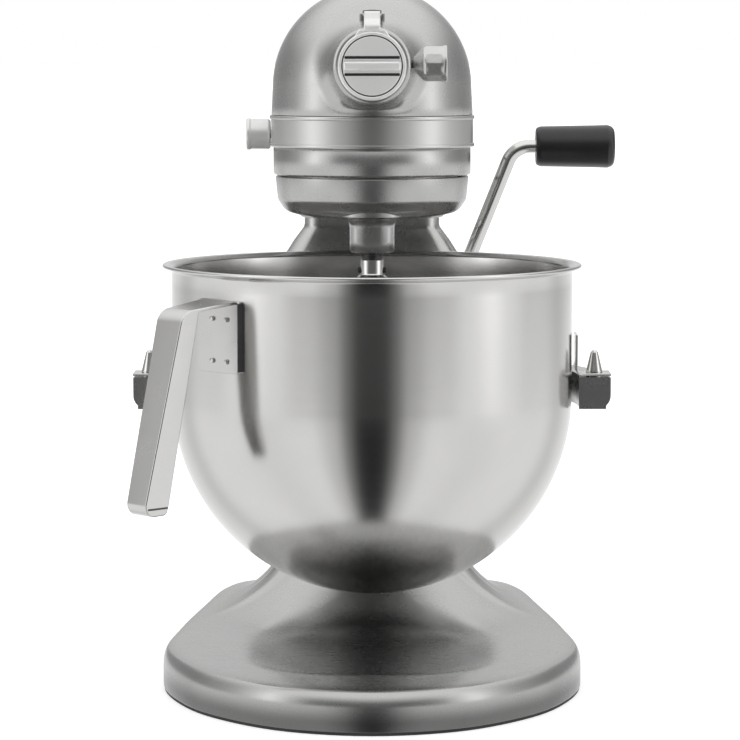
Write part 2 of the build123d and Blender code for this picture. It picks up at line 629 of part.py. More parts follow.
def trim_band():
    """Strip round the nose and along both sides: two raised edges and a plain field."""
    z0, z1 = BAND_BOTTOM_Z, BAND_TOP_Z
    edge = 2.1
    field = along_z(plan_face(59.6, HEAD_JOINT_Y), z0, z1)
    for low in (z0, z1 - edge):
        field += along_z(plan_face(60.4, HEAD_JOINT_Y), low, low + edge)
    field -= along_z(plan_face(57.9, HEAD_JOINT_Y + 5), z0 - 1, z1 + 1)
    y0, y1 = SPEED_Y - 4.0, SPEED_Y + SPEED_TRAVEL + 4.0
    return field - block(-65, -50, y0, y1, SPEED_Z - 4.0, SPEED_Z + 4.0)


def lower_gearcase():
    """Lower half of the head: round front, motor bed, and the flange on the column."""
    shell = along_z(plan_face(58.2, HEAD_JOINT_Y), GEARCASE_Z, BAND_BOTTOM_Z)
    shell += along_z(plan_face(57.9, HEAD_JOINT_Y), BAND_BOTTOM_Z, BAND_TOP_Z)
    front_edge = shell.faces().sort_by(Axis.Z)[0].edges()
    shell = chamfer(front_edge, 0.8)
    bed = loft([
        Pos(0, 0, 284.0) * tapered_outline(46.5, 34.0, 92.0, 223.0, 18.0, 24.0),
        Pos(0, 0, GEARCASE_Z) * tapered_outline(57.0, 50.0, 66.0, 221.0, 18.0, 30.0),
    ], ruled=True)
    flange = along_z(tapered_outline(46.5, 34.0, 92.0, 223.0, 18.0, 24.0), FLANGE_Z, 284.5)
    shell += bed + flange
    w = HEAD_WALL
    shell -= along_z(plan_face(58.2 - w, HEAD_JOINT_Y + 2), GEARCASE_Z + w, BAND_TOP_Z + 1)
    shell -= loft([
        Pos(0, 0, 282.0) * tapered_outline(41.0, 29.0, 98.0, 217.0, 14.0, 20.0),
        Pos(0, 0, GEARCASE_Z + w + 1) * tapered_outline(53.0, 46.0, 72.0, 215.0, 14.0, 26.0),
    ], ruled=True)
    shell += cylinder_z(15.0, GEARCASE_Z, 330.0)
    shell -= cylinder_z(12.0, GEARCASE_Z - 1, 331.0)
    y0, y1 = SPEED_Y - 4.0, SPEED_Y + SPEED_TRAVEL + 4.0
    shell -= block(-65, -50, y0, y1, SPEED_Z - 4.0, SPEED_Z + 4.0)
    return shell


def tail_section(y, k, inset):
    """One section of the rear end cover, the head's section scaled by k."""
    centre = 356.0
    half = (HEAD_HALF + 0.2) * k - inset
    r = HEAD_RADIUS * k - inset
    top_z = centre + (HEAD_CENTRE_Z - centre) * k
    low_z = centre - (centre - GEARCASE_Z - 0.4) * k + inset
    sides = Polyline((-r, top_z), (-half, low_z + 8), (-half + 8, low_z), (half - 8, low_z), (half, low_z + 8),
                     (r, top_z))
    top = ThreePointArc((r, top_z), (0, top_z + r), (-r, top_z))
    return Pos(0, y, 0) * (Plane.XZ * make_face(sides + top))


def rear_end_cover():
    outer = loft([tail_section(y, k, 0) for y, k in TAIL])
    inner = loft([tail_section(y - HEAD_WALL - 0.5, k, HEAD_WALL) for y, k in TAIL])
    cover = outer - inner
    cover -= cylinder_y(2.2, 220, 240, 0, REAR_SCREW_Z)
    for i in range(-4, 5):
        cover -= block(5.0 * i - 1.2, 5.0 * i + 1.2, 215, 240, 362, 376)
    return cover


def rear_cover_screw():
    head = cylinder_y(4.2, HEAD_BACK_Y, HEAD_BACK_Y + 1.6, 0, REAR_SCREW_Z)
    return head + cylinder_y(2.2, 222, HEAD_BACK_Y + 0.5, 0, REAR_SCREW_Z)


# ---------------------------------------------------------------- planetary drive
def planetary_cup():
    """Turning cup under the gearcase, with the neck that carries the beater shaft."""
    outline = [(8.5, 308.0), (8.5, 300.0), (12.0, 296.5), (53.2, 296.5), (53.2, 308.2), (57.0, 308.2),
               (55.7, 294.5), (54.6, 293.6), (53.2, 291.6), (48.6, 287.6), (43.0, 285.4), (0, 285.4), (0, 308.0)]
    cup = turned_z(outline)
    neck = cylinder_z(13.0, 265.0, 296.0, 0, -BEATER_OFFSET)
    flare = Pos(0, -BEATER_OFFSET, 284.0) * Cone(13.0, 17.5, 4.0)
    cup += chamfer(neck.edges().sort_by(Axis.Z)[0], 1.6) + flare
    cup -= cylinder_z(7.0, 260, 300, 0, -BEATER_OFFSET)
    cup -= cylinder_z(PLANET_SHAFT, 288.0, 310)
    return cup


def planetary_shaft():
    return cylinder_z(PLANET_SHAFT, 288.0, 354.0)


def planetary_bushes():
    """Two bushes in the gearcase boss that carry the planetary shaft."""
    rings = []
    for z0, z1 in ((311.0, 317.0), (323.0, 329.5)):
        rings.append(cylinder_z(12.0, z0, z1) - cylinder_z(PLANET_SHAFT + RUN, z0 - 1, z1 + 1))
    return rings


def beater_bushes():
    rings = []
    for z0, z1 in ((266.5, 274.0), (289.0, 296.0)):
        ring = cylinder_z(7.0, z0, z1, 0, -BEATER_OFFSET)
        rings.append(ring - cylinder_z(BEATER_SHAFT + RUN, z0 - 1, z1 + 1, 0, -BEATER_OFFSET))
    return rings


def tooth_angle(teeth, fraction):
    return 2 * math.pi / teeth * fraction


def gear_face(teeth, tip, root, tip_share, root_share, bore):
    """Spur gear section: straight-sided teeth, the first one centred on the +X direction."""
    points = []
    for i in range(teeth):
        centre = 2 * math.pi * i / teeth
        for radius, share in ((root, -root_share), (tip, -tip_share), (tip, tip_share), (root, root_share)):
            angle = centre + tooth_angle(teeth, share)
            points.append((radius * math.cos(angle), radius * math.sin(angle)))
    return polygon(points) - Circle(bore)


def external_gear(teeth, module, bore):
    pitch = teeth * module / 2
    return gear_face(teeth, pitch + 0.8 * module, pitch - 1.15 * module, 0.09, 0.27, bore)


def internal_ring_gear():
    """Fixed ring gear inside the cup, hung under the gearcase floor."""
    pitch = RING_TEETH * AGITATOR_MODULE / 2
    outer, inner = pitch + 1.15 * AGITATOR_MODULE, pitch - 0.8 * AGITATOR_MODULE
    hole = gear_face(RING_TEETH, outer, inner, 0.26, 0.40, 1.0) + Circle(2.0)
    ring = Circle(52.4) - hole
    return along_z(ring, 298.0, GEARCASE_Z)


def agitator_pinion():
    """Pinion on the beater shaft, with a tooth where the ring has a gap, straight to the front."""
    pinion = along_z(external_gear(AGITATOR_TEETH, AGITATOR_MODULE, BEATER_SHAFT), 298.5, 306.5)
    return Pos(0, -BEATER_OFFSET, 0) * Rot(0, 0, -90) * pinion


def beater_shaft():
    shaft = cylinder_z(BEATER_SHAFT, 236.0, 308.0, 0, -BEATER_OFFSET)
    return shaft + cylinder_x(1.6, -8.2, 8.2, -BEATER_OFFSET, 254.5)


def beater_washer():
    ring = cylinder_z(6.2, 262.0, 263.6, 0, -BEATER_OFFSET)
    return ring - cylinder_z(BEATER_SHAFT, 260, 266, 0, -BEATER_OFFSET)


def beater_outline(inset):
    """Flat outline of the beater in (x, z), a constant gap inside the bowl."""
    reach = [(66.0, 222.0), (74.0, 185.0), (70.5, 140.0), (53.0, 102.5), (26.0, 79.0)]
    right = [(x - inset, z + (0.0 if z > 150 else 0.6 * inset)) for x, z in reach]
    low = 70.0 + inset
    left = [(-x, z) for x, z in reversed(right)]
    side = Spline(*right, (0, low), *left)
    crest = 246.0 - 1.1 * inset
    top = Polyline(left[-1], (-9.0 + 0.5 * inset, crest), (9.0 - 0.5 * inset, crest), right[0])
    return make_face(side + top)


def flat_beater():
    frame = beater_outline(0) - beater_outline(9.0)
    ribs = Pos(0, 150) * Rectangle(7.0, 170.0)
    ribs += Pos(0, 196) * Rectangle(150.0, 6.0)
    ribs += Pos(0, 150) * Rectangle(150.0, 6.0)
    frame += ribs & beater_outline(4.0)
    sleeve = [(6.2, 261.2), (6.75, 260.4), (6.75, 252.4), (8.0, 251.0), (10.6, 249.4), (11.4, 247.6),
              (11.4, 243.0), (8.0, 232.0), (0, 230.0), (0, 261.2)]
    beater = turned_z(sleeve) + along_y(frame, -4.0, 4.0)
    beater -= cylinder_z(BEATER_SHAFT, 236.0, 262.0)
    beater -= cylinder_x(1.7, -9, 9, 0, 254.5)
    return Pos(0, -BEATER_OFFSET, 0) * beater


# ---------------------------------------------------------------- bevel gears and layshaft
def bevel_tooth(radius, height, flip, tip_share, root_share):
    """A tapered tooth in the XZ plane, pointing at the cone's apex at the origin.

    The pitch line runs from the apex to (radius, -height); flip turns the tooth's crest over.
    """
    cone = math.hypot(radius, height)
    u = (radius / cone, -height / cone)
    n = (height / cone * flip, radius / cone * flip)
    add, ded = 0.8 * BEVEL_MODULE, 1.3 * BEVEL_MODULE
    pitch = math.pi * BEVEL_MODULE
    rings = []
    for distance in (cone + 0.01, cone - BEVEL_FACE):
        k = distance / cone
        corners = []
        for rise, share in ((-ded, -root_share), (add, -tip_share), (add, tip_share), (-ded, root_share)):
            corners.append((u[0] * distance + n[0] * rise * k, share * pitch * k,
                            u[1] * distance + n[1] * rise * k))
        rings.append(polygon(corners))
    return loft(rings, ruled=True)


def bevel_radii():
    return BEVEL_GEAR_TEETH * BEVEL_MODULE / 2, BEVEL_PINION_TEETH * BEVEL_MODULE / 2


def centre_bevel_gear():
    """Large bevel gear on the planetary shaft; it drives the hub and is driven by the layshaft."""
    big, small = bevel_radii()
    tooth = bevel_tooth(big, small, 1, 0.10, 0.27)
    cone = math.hypot(big, small)
    inner = 1 - BEVEL_FACE / cone
    ded = 1.15 * BEVEL_MODULE
    tilt = (small / cone, big / cone)
    root_out = (big - ded * tilt[0], -small - ded * tilt[1])
    root_in = (root_out[0] * inner, root_out[1] * inner)
    body = turned_z([(0, -24.0), (12.0, -24.0), (14.0, -19.5), (root_out[0] - 2, root_out[1] - 4.0),
                     (root_out[0] + 1.2, root_out[1] - 1.2), root_out, root_in, (root_in[0] - 2, -15.5),
                     (12.0, -16.5), (0, -16.5)])
    gear = body
    step = 360.0 / BEVEL_GEAR_TEETH
    gear += [Rot(0, 0, (i + 0.5) * step) * tooth for i in range(BEVEL_GEAR_TEETH)]
    gear -= cylinder_z(PLANET_SHAFT, -40, 0)
    return Pos(0, 0, HUB_Z) * gear


def bevel_pinion():
    """Small bevel gear with its axis on -X and its apex at the origin, one tooth pointing down."""
    big, small = bevel_radii()
    cone = math.hypot(big, small)
    inner = 1 - BEVEL_FACE / cone
    ded = 1.15 * BEVEL_MODULE
    tilt = (small / cone, big / cone)
    root_out = (big + ded * tilt[0], small - ded * tilt[1])
    root_in = (root_out[0] * inner, root_out[1] * inner)
    body = revolve(polygon([(root_in[0], 0, 0), (root_in[0], 0, root_in[1]), (root_out[0], 0, root_out[1]),
                            (root_out[0] + 3.0, 0, root_out[1]), (root_out[0] + 3.0, 0, 0)]), Axis.X)
    tooth = bevel_tooth(big, small, -1, 0.08, 0.26)
    step = 360.0 / BEVEL_PINION_TEETH
    return body + [Rot(i * step, 0, 0) * tooth for i in range(BEVEL_PINION_TEETH)]


def layshaft_bevel_pinion():
    return Pos(0, 0, HUB_Z) * Rot(0, 0, 90) * bevel_pinion() - cylinder_y(SHAFT, 0, 80, 0, HUB_Z)


def hub_bevel_pinion():
    return Pos(0, 0, HUB_Z) * Rot(0, 0, -90) * bevel_pinion() - cylinder_y(SHAFT, -80, 0, 0, HUB_Z)


def hub_shaft():
    """Shaft behind the hub with a square socket for attachments."""
    shaft = cylinder_y(SHAFT, -50.5, -29.5, 0, HUB_Z) + cylinder_y(12.0, -61.5, -50.5, 0, HUB_Z)
    return shaft - block(-4.9, 4.9, -63.0, -52.0, HUB_Z - 4.9, HUB_Z + 4.9)


def layshaft():
    return cylinder_y(SHAFT, 29.5, 78.0, 0, HUB_Z)


def layshaft_spur_gear():
    gear = external_gear(SPUR_TEETH, SPUR_MODULE, SHAFT)
    return along_y(Pos(0, HUB_Z) * Rot(0, 0, -90) * gear, 66.5, 75.0)


def gearbox_frame():
    """Upright plate across the head that carries the layshaft and the motor's front bearing."""
    plate = along_y(Pos(0, 352.0) * RectangleRounded(96.0, 76.0, 10.0), 50.0, 57.0)
    plate &= nose(4.5, 300) + along_y(dome_face(HEAD_WALL + 1.0, 300), 0, 90)
    foot = block(-40, 40, 50.0, 64.0, GEARCASE_Z + HEAD_WALL, 320.0)
    plate += foot
    plate -= cylinder_y(9.0, 45, 60, 0, HUB_Z)
    plate -= cylinder_y(8.0, 45, 60, 0, MOTOR_Z)
    return plate


# ---------------------------------------------------------------- motor
def armature_shaft():
    return cylinder_y(MOTOR_SHAFT, 49.0, 186.0, 0, MOTOR_Z)


def armature_pinion():
    gear = external_gear(MOTOR_PINION_TEETH, SPUR_MODULE, 4.0)
    half_tooth = 180.0 / MOTOR_PINION_TEETH
    return along_y(Pos(0, MOTOR_Z) * Rot(0, 0, 90 + half_tooth) * gear, 65.0, 76.5)


def armature_core():
    core = cylinder_y(24.0, 104.0, 150.0, 0, MOTOR_Z) - cylinder_y(4.0, 100, 160, 0, MOTOR_Z)
    for i in range(14):
        angle = 2 * math.pi * i / 14
        core -= cylinder_y(2.6, 100, 155, 21.8 * math.cos(angle), MOTOR_Z + 21.8 * math.sin(angle))
    return core


def armature_windings():
    return [tube_y(19.0, 8.0, y0, y1, 0, MOTOR_Z) for y0, y1 in ((97.0, 103.9), (150.1, 157.0))]


def commutator():
    ring = tube_y(11.5, 4.0, 159.0, 173.0, 0, MOTOR_Z)
    for i in range(14):
        ring -= Pos(0, 0, MOTOR_Z) * Rot(0, 360 / 14 * i, 0) * block(10.6, 12.0, 158, 174, -0.3, 0.3)
    return ring


def cooling_fan():
    fan = tube_y(10.0, 4.0, 82.0, 94.0, 0, MOTOR_Z) + tube_y(36.0, 9.0, 92.0, 94.0, 0, MOTOR_Z)
    for i in range(11):
        blade = block(9.0, 35.0, 82.5, 92.5, -0.8, 0.8)
        fan += Pos(0, 0, MOTOR_Z) * Rot(0, 360 / 11 * i, 0) * blade
    return fan


def motor_stator():
    stator = cylinder_y(42.0, 104.0, 150.0, 0, MOTOR_Z) & block(-50, 50, 100, 160, MOTOR_Z - 38, MOTOR_Z + 38)
    return stator - cylinder_y(24.7, 100, 160, 0, MOTOR_Z)


def stator_coils():
    coils = []
    for z in (MOTOR_Z + 31.0, MOTOR_Z - 31.0):
        for y0, y1 in ((94.6, 103.9), (150.1, 157.0)):
            coils.append(block(-22, 22, y0, y1, z - 5.0, z + 5.0))
    return coils


def motor_mounts():
    """Cradle ribs between the motor and the gearcase bed, and the rear bearing bracket."""
    ribs = []
    for y0, y1 in ((108.0, 114.0), (140.0, 146.0)):
        rib = block(-36, 36, y0, y1, 282.0, MOTOR_Z - 8) - cylinder_y(42.0, 100, 160, 0, MOTOR_Z)
        ribs.append(rib)
    bracket = block(-50, 50, 176.0, 181.0, 320.0, 372.0) & along_y(dome_face(6, 300), 170, 190)
    bracket -= cylinder_y(8.0, 170, 190, 0, MOTOR_Z)
    return ribs + [bracket]


def shaft_bearings():
    """Bearings of the layshaft and of both ends of the motor shaft."""
    motor_shaft = MOTOR_SHAFT + RUN
    return [
        tube_y(9.0, SHAFT + RUN, 50.0, 57.0, 0, HUB_Z),
        tube_y(8.0, motor_shaft, 50.0, 57.0, 0, MOTOR_Z),
        tube_y(8.0, motor_shaft, 176.0, 181.0, 0, MOTOR_Z),
    ]


def carbon_brushes():
    return [block(11.7, 24.0, 162.0, 170.0, MOTOR_Z - 3, MOTOR_Z + 3),
            block(-24.0, -11.7, 162.0, 170.0, MOTOR_Z - 3, MOTOR_Z + 3)]


def brush_holders():
    holders = []
    for side in (1, -1):
        x0, x1 = sorted((side * 14.0, side * 38.0))
        holder = block(x0, x1, 159.5, 172.5, MOTOR_Z - 5, MOTOR_Z + 5)
        holders.append(holder - block(x0 - 1, x1 + 1, 162.0, 170.0, MOTOR_Z - 3, MOTOR_Z + 3))
    return holders


def control_board():
    board = block(-30, 30, 194.0, 195.6, 330.0, 372.0)
    board += block(-20, -8, 195.6, 204.0, 336.0, 352.0) + block(4, 22, 195.6, 201.0, 350.0, 366.0)
    return board + cylinder_y(5.0, 195.0, 207.0, 10, 340)


# ---------------------------------------------------------------- speed control
def speed_knob():
    outline = [(-60.8, 0), (-60.8, 8.6), (-61.6, 9.5), (-74.2, 9.5), (-75.2, 8.6), (-75.2, 0)]
    return turned_x(outline, SPEED_Y, SPEED_Z) - cylinder_x(2.6, -68.0, -60.0, SPEED_Y, SPEED_Z)


def speed_link():
    """Stem through the slot and the bar behind it that works the controls."""
    link = cylinder_x(2.6, -68.0, -51.0, SPEED_Y, SPEED_Z)
    return link + block(-52.0, -49.5, SPEED_Y - 5, SPEED_Y + 60, SPEED_Z - 5, SPEED_Z + 5)


# ---------------------------------------------------------------- export
PARTS = {
    "base_casting": lambda: base_casting() + screw_bosses(),
    "base_bottom_plate": base_bottom_plate,
    "base_feet": base_feet,
    "base_screws": base_screws,
    "column_casting": column_casting,
    "column_bolts": column_bolts,
    "guide_rods": guide_rods,
    "guide_blocks": guide_blocks,
    "stop_screw": stop_screw,
    "lever_bushes": lever_bushes,
    "inlet_gland": inlet_gland,
    "support_yoke": support_yoke,
    "lift_plate": lift_plate,
    "locating_pins": locating_pins,
    "latch_spring": latch_spring,
    "bowl_shell": bowl_shell,
    "bowl_side_brackets": bowl_side_brackets,
    "bowl_rear_lug": bowl_rear_lug,
    "bowl_handle": bowl_handle,
    "lever_rod": lever_rod,
    "lever_grip": lever_grip,
    "lever_crank": lever_crank,
    "head_upper_housing": head_upper_housing,
    "trim_band": trim_band,
    "lower_gearcase": lower_gearcase,
    "rear_end_cover": rear_end_cover,
    "rear_cover_screw": rear_cover_screw,
    "hub_hinge_pin": hub_hinge_pin,
    "hub_cover": hub_cover,
    "knob_stud": knob_stud,
    "hub_knob": hub_knob,
    "planetary_cup": planetary_cup,
    "planetary_shaft": planetary_shaft,
    "shaft_bushes": lambda: [hub_bush()] + planetary_bushes(),
    "beater_bushes": beater_bushes,
    "internal_ring_gear": internal_ring_gear,
    "agitator_pinion": agitator_pinion,
    "beater_shaft": beater_shaft,
    "beater_washer": beater_washer,
    "flat_beater": flat_beater,
    "centre_bevel_gear": centre_bevel_gear,
    "layshaft_bevel_pinion": layshaft_bevel_pinion,
    "hub_bevel_pinion": hub_bevel_pinion,
    "hub_shaft": hub_shaft,
    "layshaft": layshaft,
    "layshaft_spur_gear": layshaft_spur_gear,
    "gearbox_frame": gearbox_frame,
    "shaft_bearings": shaft_bearings,
    "armature_shaft": armature_shaft,
    "armature_pinion": armature_pinion,
    "armature_core": lambda: [armature_core()] + armature_windings(),
    "commutator": commutator,
    "cooling_fan": cooling_fan,
    "motor_stator": lambda: [motor_stator()] + stator_coils(),
    "motor_mounts": motor_mounts,
    "carbon_brushes": carbon_brushes,
    "brush_holders": brush_holders,
    "control_board": control_board,
    "speed_knob": speed_knob,
    "speed_link": speed_link,
}


def main():
    os.makedirs("parts", exist_ok=True)
    for name, make in PARTS.items():
        shape = make()
        if isinstance(shape, list):
            shape = Compound(children=[Part(s.wrapped) if not isinstance(s, Part) else s for s in shape])
        export_step(shape, f"parts/{name}.step")


main()
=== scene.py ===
import bpy
import bmesh
import math
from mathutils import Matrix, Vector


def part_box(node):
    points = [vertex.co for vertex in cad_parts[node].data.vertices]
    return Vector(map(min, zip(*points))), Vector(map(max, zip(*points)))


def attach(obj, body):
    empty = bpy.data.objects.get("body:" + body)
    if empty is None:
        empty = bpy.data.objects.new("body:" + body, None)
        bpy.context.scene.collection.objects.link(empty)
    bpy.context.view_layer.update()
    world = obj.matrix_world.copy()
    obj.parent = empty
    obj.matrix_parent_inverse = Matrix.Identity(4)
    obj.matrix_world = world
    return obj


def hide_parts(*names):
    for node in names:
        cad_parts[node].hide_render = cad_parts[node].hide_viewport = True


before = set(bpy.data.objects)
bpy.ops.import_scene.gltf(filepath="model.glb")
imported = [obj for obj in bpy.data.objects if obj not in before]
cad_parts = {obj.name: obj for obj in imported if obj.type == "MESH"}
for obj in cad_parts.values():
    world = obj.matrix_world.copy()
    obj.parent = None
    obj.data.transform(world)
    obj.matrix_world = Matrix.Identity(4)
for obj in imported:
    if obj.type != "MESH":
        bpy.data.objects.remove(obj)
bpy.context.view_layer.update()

# A bowl-lift stand mixer.  Shapes are drawn in millimetres and scaled to metres when a mesh is made.
# The user stands at -Y, +Z is up, and the bowl's axis is the Z axis.

MM = 0.001


def box_mm(node):
    """Lowest and highest corner of a CAD node at rest, in millimetres."""
    low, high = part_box(node)
    return [v / MM for v in low], [v / MM for v in high]


def middle(low, high):
    """Centre of a box."""
    return [(a + b) / 2 for a, b in zip(low, high)]


# ---- places taken from the frame
BOWL_LOW, BOWL_HIGH = box_mm("bowl_shell")
BAND_LOW, BAND_HIGH = box_mm("trim_band")
HOUSING_LOW, HOUSING_HIGH = box_mm("head_upper_housing")
CUP_LOW, CUP_HIGH = box_mm("planetary_cup")
GEARCASE_LOW = box_mm("lower_gearcase")[0]
COLUMN_LOW, COLUMN_HIGH = box_mm("column_casting")
BASE_LOW, BASE_HIGH = box_mm("base_casting")
COVER_LOW = box_mm("hub_cover")[0]
KNOB_LOW, KNOB_HIGH = box_mm("hub_knob")
SPEED_LOW, SPEED_HIGH = box_mm("speed_knob")
GRIP_LOW, GRIP_HIGH = box_mm("lever_grip")
TAIL_HIGH = box_mm("rear_end_cover")[1]
SPEED_Y, SPEED_Z = middle(SPEED_LOW, SPEED_HIGH)[1:]
BEATER_Y = middle(*box_mm("flat_beater"))[1]
HUB_Z = middle(*box_mm("hub_shaft"))[2]
HUB_FACE_Y = HOUSING_LOW[1]
HEAD_JOINT_Y = BAND_HIGH[1]
BAND_HALF = BAND_HIGH[0]

# ---- driving sizes, millimetres
BOWL_RADIUS = 118.5
BOWL_CENTRE_Z = BOWL_LOW[2] + 116.7
BOWL_WALL = 1.2
LIP_RADIUS = 124.0
HEAD_RADIUS = 58.5
HEAD_CENTRE_Z = HOUSING_HIGH[2] - HEAD_RADIUS
HEAD_HALF = 59.4
TAIL_CENTRE_Z = 356.0
GEARCASE_HALF = 58.2
GEARCASE_Z = 309.0
SPEED_TRAVEL = 44.0
HUB_RADIUS = 22.2
HUB_BORE = 16.5
COVER_BACK_Y = HUB_FACE_Y - 0.4
GROOVE_LEVELS = (HUB_Z - 4.8, HUB_Z + 4.8)
HINGE_Y, HINGE_Z = -44.0, 401.5
COLUMN_PLAN = (59.0, 40.0, COLUMN_LOW[1], COLUMN_HIGH[1], 12.0, 28.0)
NECK_PLAN = (44.8, 33.0, 148.0, 221.0, 10.0, 24.0)
BASE_CENTRE = (0, 176.0)
BASE_COLUMNS = 240
BASE_TOP_Z = 25.5
BASE_FOOT_Z = 7.0
BASE_UNDER_Z = 1.6
RIM_RADIUS = 11.0
FLARE_LENGTH = 75.0
HOLLOW_HALF = (74.0, 86.0)
HOLLOW_Y = 6.0
HOLLOW_DEPTH = 4.2


# ---- mesh helpers
def new_object(name, verts, faces, sharp=40.0):
    """Mesh object from points in millimetres, welded, with edges over an angle left sharp."""
    mesh = bpy.data.meshes.new(name)
    mesh.from_pydata([(x * MM, y * MM, z * MM) for x, y, z in verts], [], faces)
    tidy_mesh(mesh, sharp)
    return add_object(name, mesh)


def add_object(name, data):
    obj = bpy.data.objects.new(name, data)
    bpy.context.scene.collection.objects.link(obj)
    return obj


def tidy_mesh(mesh, sharp):
    """Weld the mesh, turn its faces outwards and leave edges over an angle sharp."""
    work = bmesh.new()
    work.from_mesh(mesh)
    bmesh.ops.remove_doubles(work, verts=work.verts, dist=2e-6)
    bmesh.ops.dissolve_degenerate(work, edges=work.edges, dist=1e-7)
    bmesh.ops.recalc_face_normals(work, faces=work.faces)
    for face in work.faces:
        face.smooth = True
    work.to_mesh(mesh)
    work.free()
    mesh.set_sharp_from_angle(angle=math.radians(sharp))


def join(name, objects, sharp=40.0):
    """One object from several, keeping each closed part's faces."""
    work = bmesh.new()
    for obj in objects:
        work.from_mesh(obj.data)
        bpy.data.objects.remove(obj, do_unlink=True)
    mesh = bpy.data.meshes.new(name)
    work.to_mesh(mesh)
    work.free()
    for face in mesh.polygons:
        face.use_smooth = True
    mesh.set_sharp_from_angle(angle=math.radians(sharp))
    return add_object(name, mesh)


def carve(obj, tools, operation="DIFFERENCE", sharp=35.0):
    """Apply exact booleans with the given tools, then remove the tools."""
    for tool in tools:
        step = obj.modifiers.new("cut", "BOOLEAN")
        step.operation = operation
        step.solver = "EXACT"
        step.object = tool
        bpy.context.view_layer.update()
        graph = bpy.context.evaluated_depsgraph_get()
        mesh = bpy.data.meshes.new_from_object(obj.evaluated_get(graph))
        obj.modifiers.clear()
        obj.data = mesh
        bpy.data.objects.remove(tool, do_unlink=True)
    tidy_mesh(obj.data, sharp)
    return obj


def stack(name, rings, sharp=40.0, closed=False, caps=True):
    """Skin over rings of points; the last ring joins the first when closed, else both ends get caps."""
    count = len(rings[0])
    verts = [p for ring in rings for p in ring]
    faces = []
    last = len(rings) if closed else len(rings) - 1
    for i in range(last):
        a, b = i * count, (i + 1) % len(rings) * count
        for j in range(count):
            k = (j + 1) % count
            faces.append((a + j, a + k, b + k, b + j))
    if caps and not closed:
        faces.append(tuple(range(count)))
        faces.append(tuple(range(len(verts) - count, len(verts))))
    return new_object(name, verts, faces, sharp)


def level(plan, z):
    """A plan outline at height z."""
    return [(x, y, z) for x, y in plan]


def arc(cx, cy, radius, start, end, steps):
    """Points on an arc in degrees, both ends included."""
    points = []
    for i in range(steps + 1):
        angle = math.radians(start + (end - start) * i / steps)
        points.append((cx + radius * math.cos(angle), cy + radius * math.sin(angle)))
    return points


def rounded(points, radii, steps=5, closed=False):
    """A path in the plane with its corners rounded; radius 0 keeps a corner."""
    result = []
    count = len(points)
    for i, (x, y) in enumerate(points):
        radius = radii[i] if isinstance(radii, (list, tuple)) else radii
        if radius == 0 or (not closed and i in (0, count - 1)):
            result.append((x, y))
            continue
        ax, ay = points[i - 1]
        bx, by = points[(i + 1) % count]
        ux, uy = ax - x, ay - y
        vx, vy = bx - x, by - y
        lu, lv = math.hypot(ux, uy), math.hypot(vx, vy)
        ux, uy, vx, vy = ux / lu, uy / lu, vx / lv, vy / lv
        half = math.acos(max(-1.0, min(1.0, ux * vx + uy * vy))) / 2
        cut = min(radius / math.tan(half), 0.49 * lu, 0.49 * lv)
        sx, sy = x + ux * cut, y + uy * cut
        ex, ey = x + vx * cut, y + vy * cut
        for j in range(steps + 1):
            t = j / steps
            w0, w1, w2 = (1 - t) ** 2, 2 * t * (1 - t) * math.cos(math.pi / 4 + half / 4), t * t
            total = w0 + w1 + w2
            result.append(((w0 * sx + w1 * x + w2 * ex) / total, (w0 * sy + w1 * y + w2 * ey) / total))
    return result


def lathe(name, profile, axis="Z", centre=(0, 0, 0), steps=96, sharp=40.0, flute=None):
    """Turn (radius, height) points about an axis through centre; flute(angle, radius, height) may cut in."""
    rings = []
    for radius, height in profile:
        ring = []
        for i in range(steps):
            angle = 2 * math.pi * i / steps
            r = flute(angle, radius, height) if flute else radius
            u, v = r * math.cos(angle), r * math.sin(angle)
            place = {"Z": (u, v, height), "Y": (u, height, v), "X": (height, u, v)}[axis]
            ring.append(tuple(c + p for c, p in zip(centre, place)))
        rings.append(ring)
    return stack(name, rings, sharp, caps=profile[0] != profile[-1])


def soft_box(name, low, high, radius, steps=3):
    """A box with rounded edges, made from a bevelled cage."""
    mesh = bpy.data.meshes.new(name)
    work = bmesh.new()
    bmesh.ops.create_cube(work, size=1.0)
    for v in work.verts:
        for k in range(3):
            v.co[k] = (low[k] if v.co[k] < 0 else high[k]) * MM
    if radius:
        bmesh.ops.bevel(work, geom=work.edges[:], offset=radius * MM, segments=steps, affect="EDGES",
                        profile=0.5)
    work.to_mesh(mesh)
    work.free()
    tidy_mesh(mesh, 50.0)
    return add_object(name, mesh)


def sweep(name, path, section, sharp=40.0, closed=False):
    """Move a section along a path of (x, y, z) points that lies in a plane.

    section(i) gives points (a, b): a along the plane's normal, b along the path's own side direction.
    """
    rings = []
    count = len(path)
    normal = plane_normal(path)
    for i, point in enumerate(path):
        before = path[i - 1] if closed or i else path[0]
        after = path[(i + 1) % count] if closed or i < count - 1 else path[-1]
        tangent = unit([q - p for p, q in zip(before, after)])
        side = cross(normal, tangent)
        ring = []
        for a, b in section(i):
            ring.append(tuple(p + a * n + b * s for p, n, s in zip(point, normal, side)))
        rings.append(ring)
    return stack(name, rings, sharp, closed=closed)


def smooth_step(t):
    t = min(max(t, 0.0), 1.0)
    return t * t * (3 - 2 * t)


def unit(v):
    length = math.sqrt(sum(c * c for c in v)) or 1.0
    return [c / length for c in v]


def cross(a, b):
    return [a[1] * b[2] - a[2] * b[1], a[2] * b[0] - a[0] * b[2], a[0] * b[1] - a[1] * b[0]]


def plane_normal(path):
    total = [0.0, 0.0, 0.0]
    p0 = path[0]
    for p, q in zip(path[1:], path[2:]):
        part = cross([b - a for a, b in zip(p0, p)], [b - a for a, b in zip(p0, q)])
        total = [s + t for s, t in zip(total, part)]
    return unit(total)


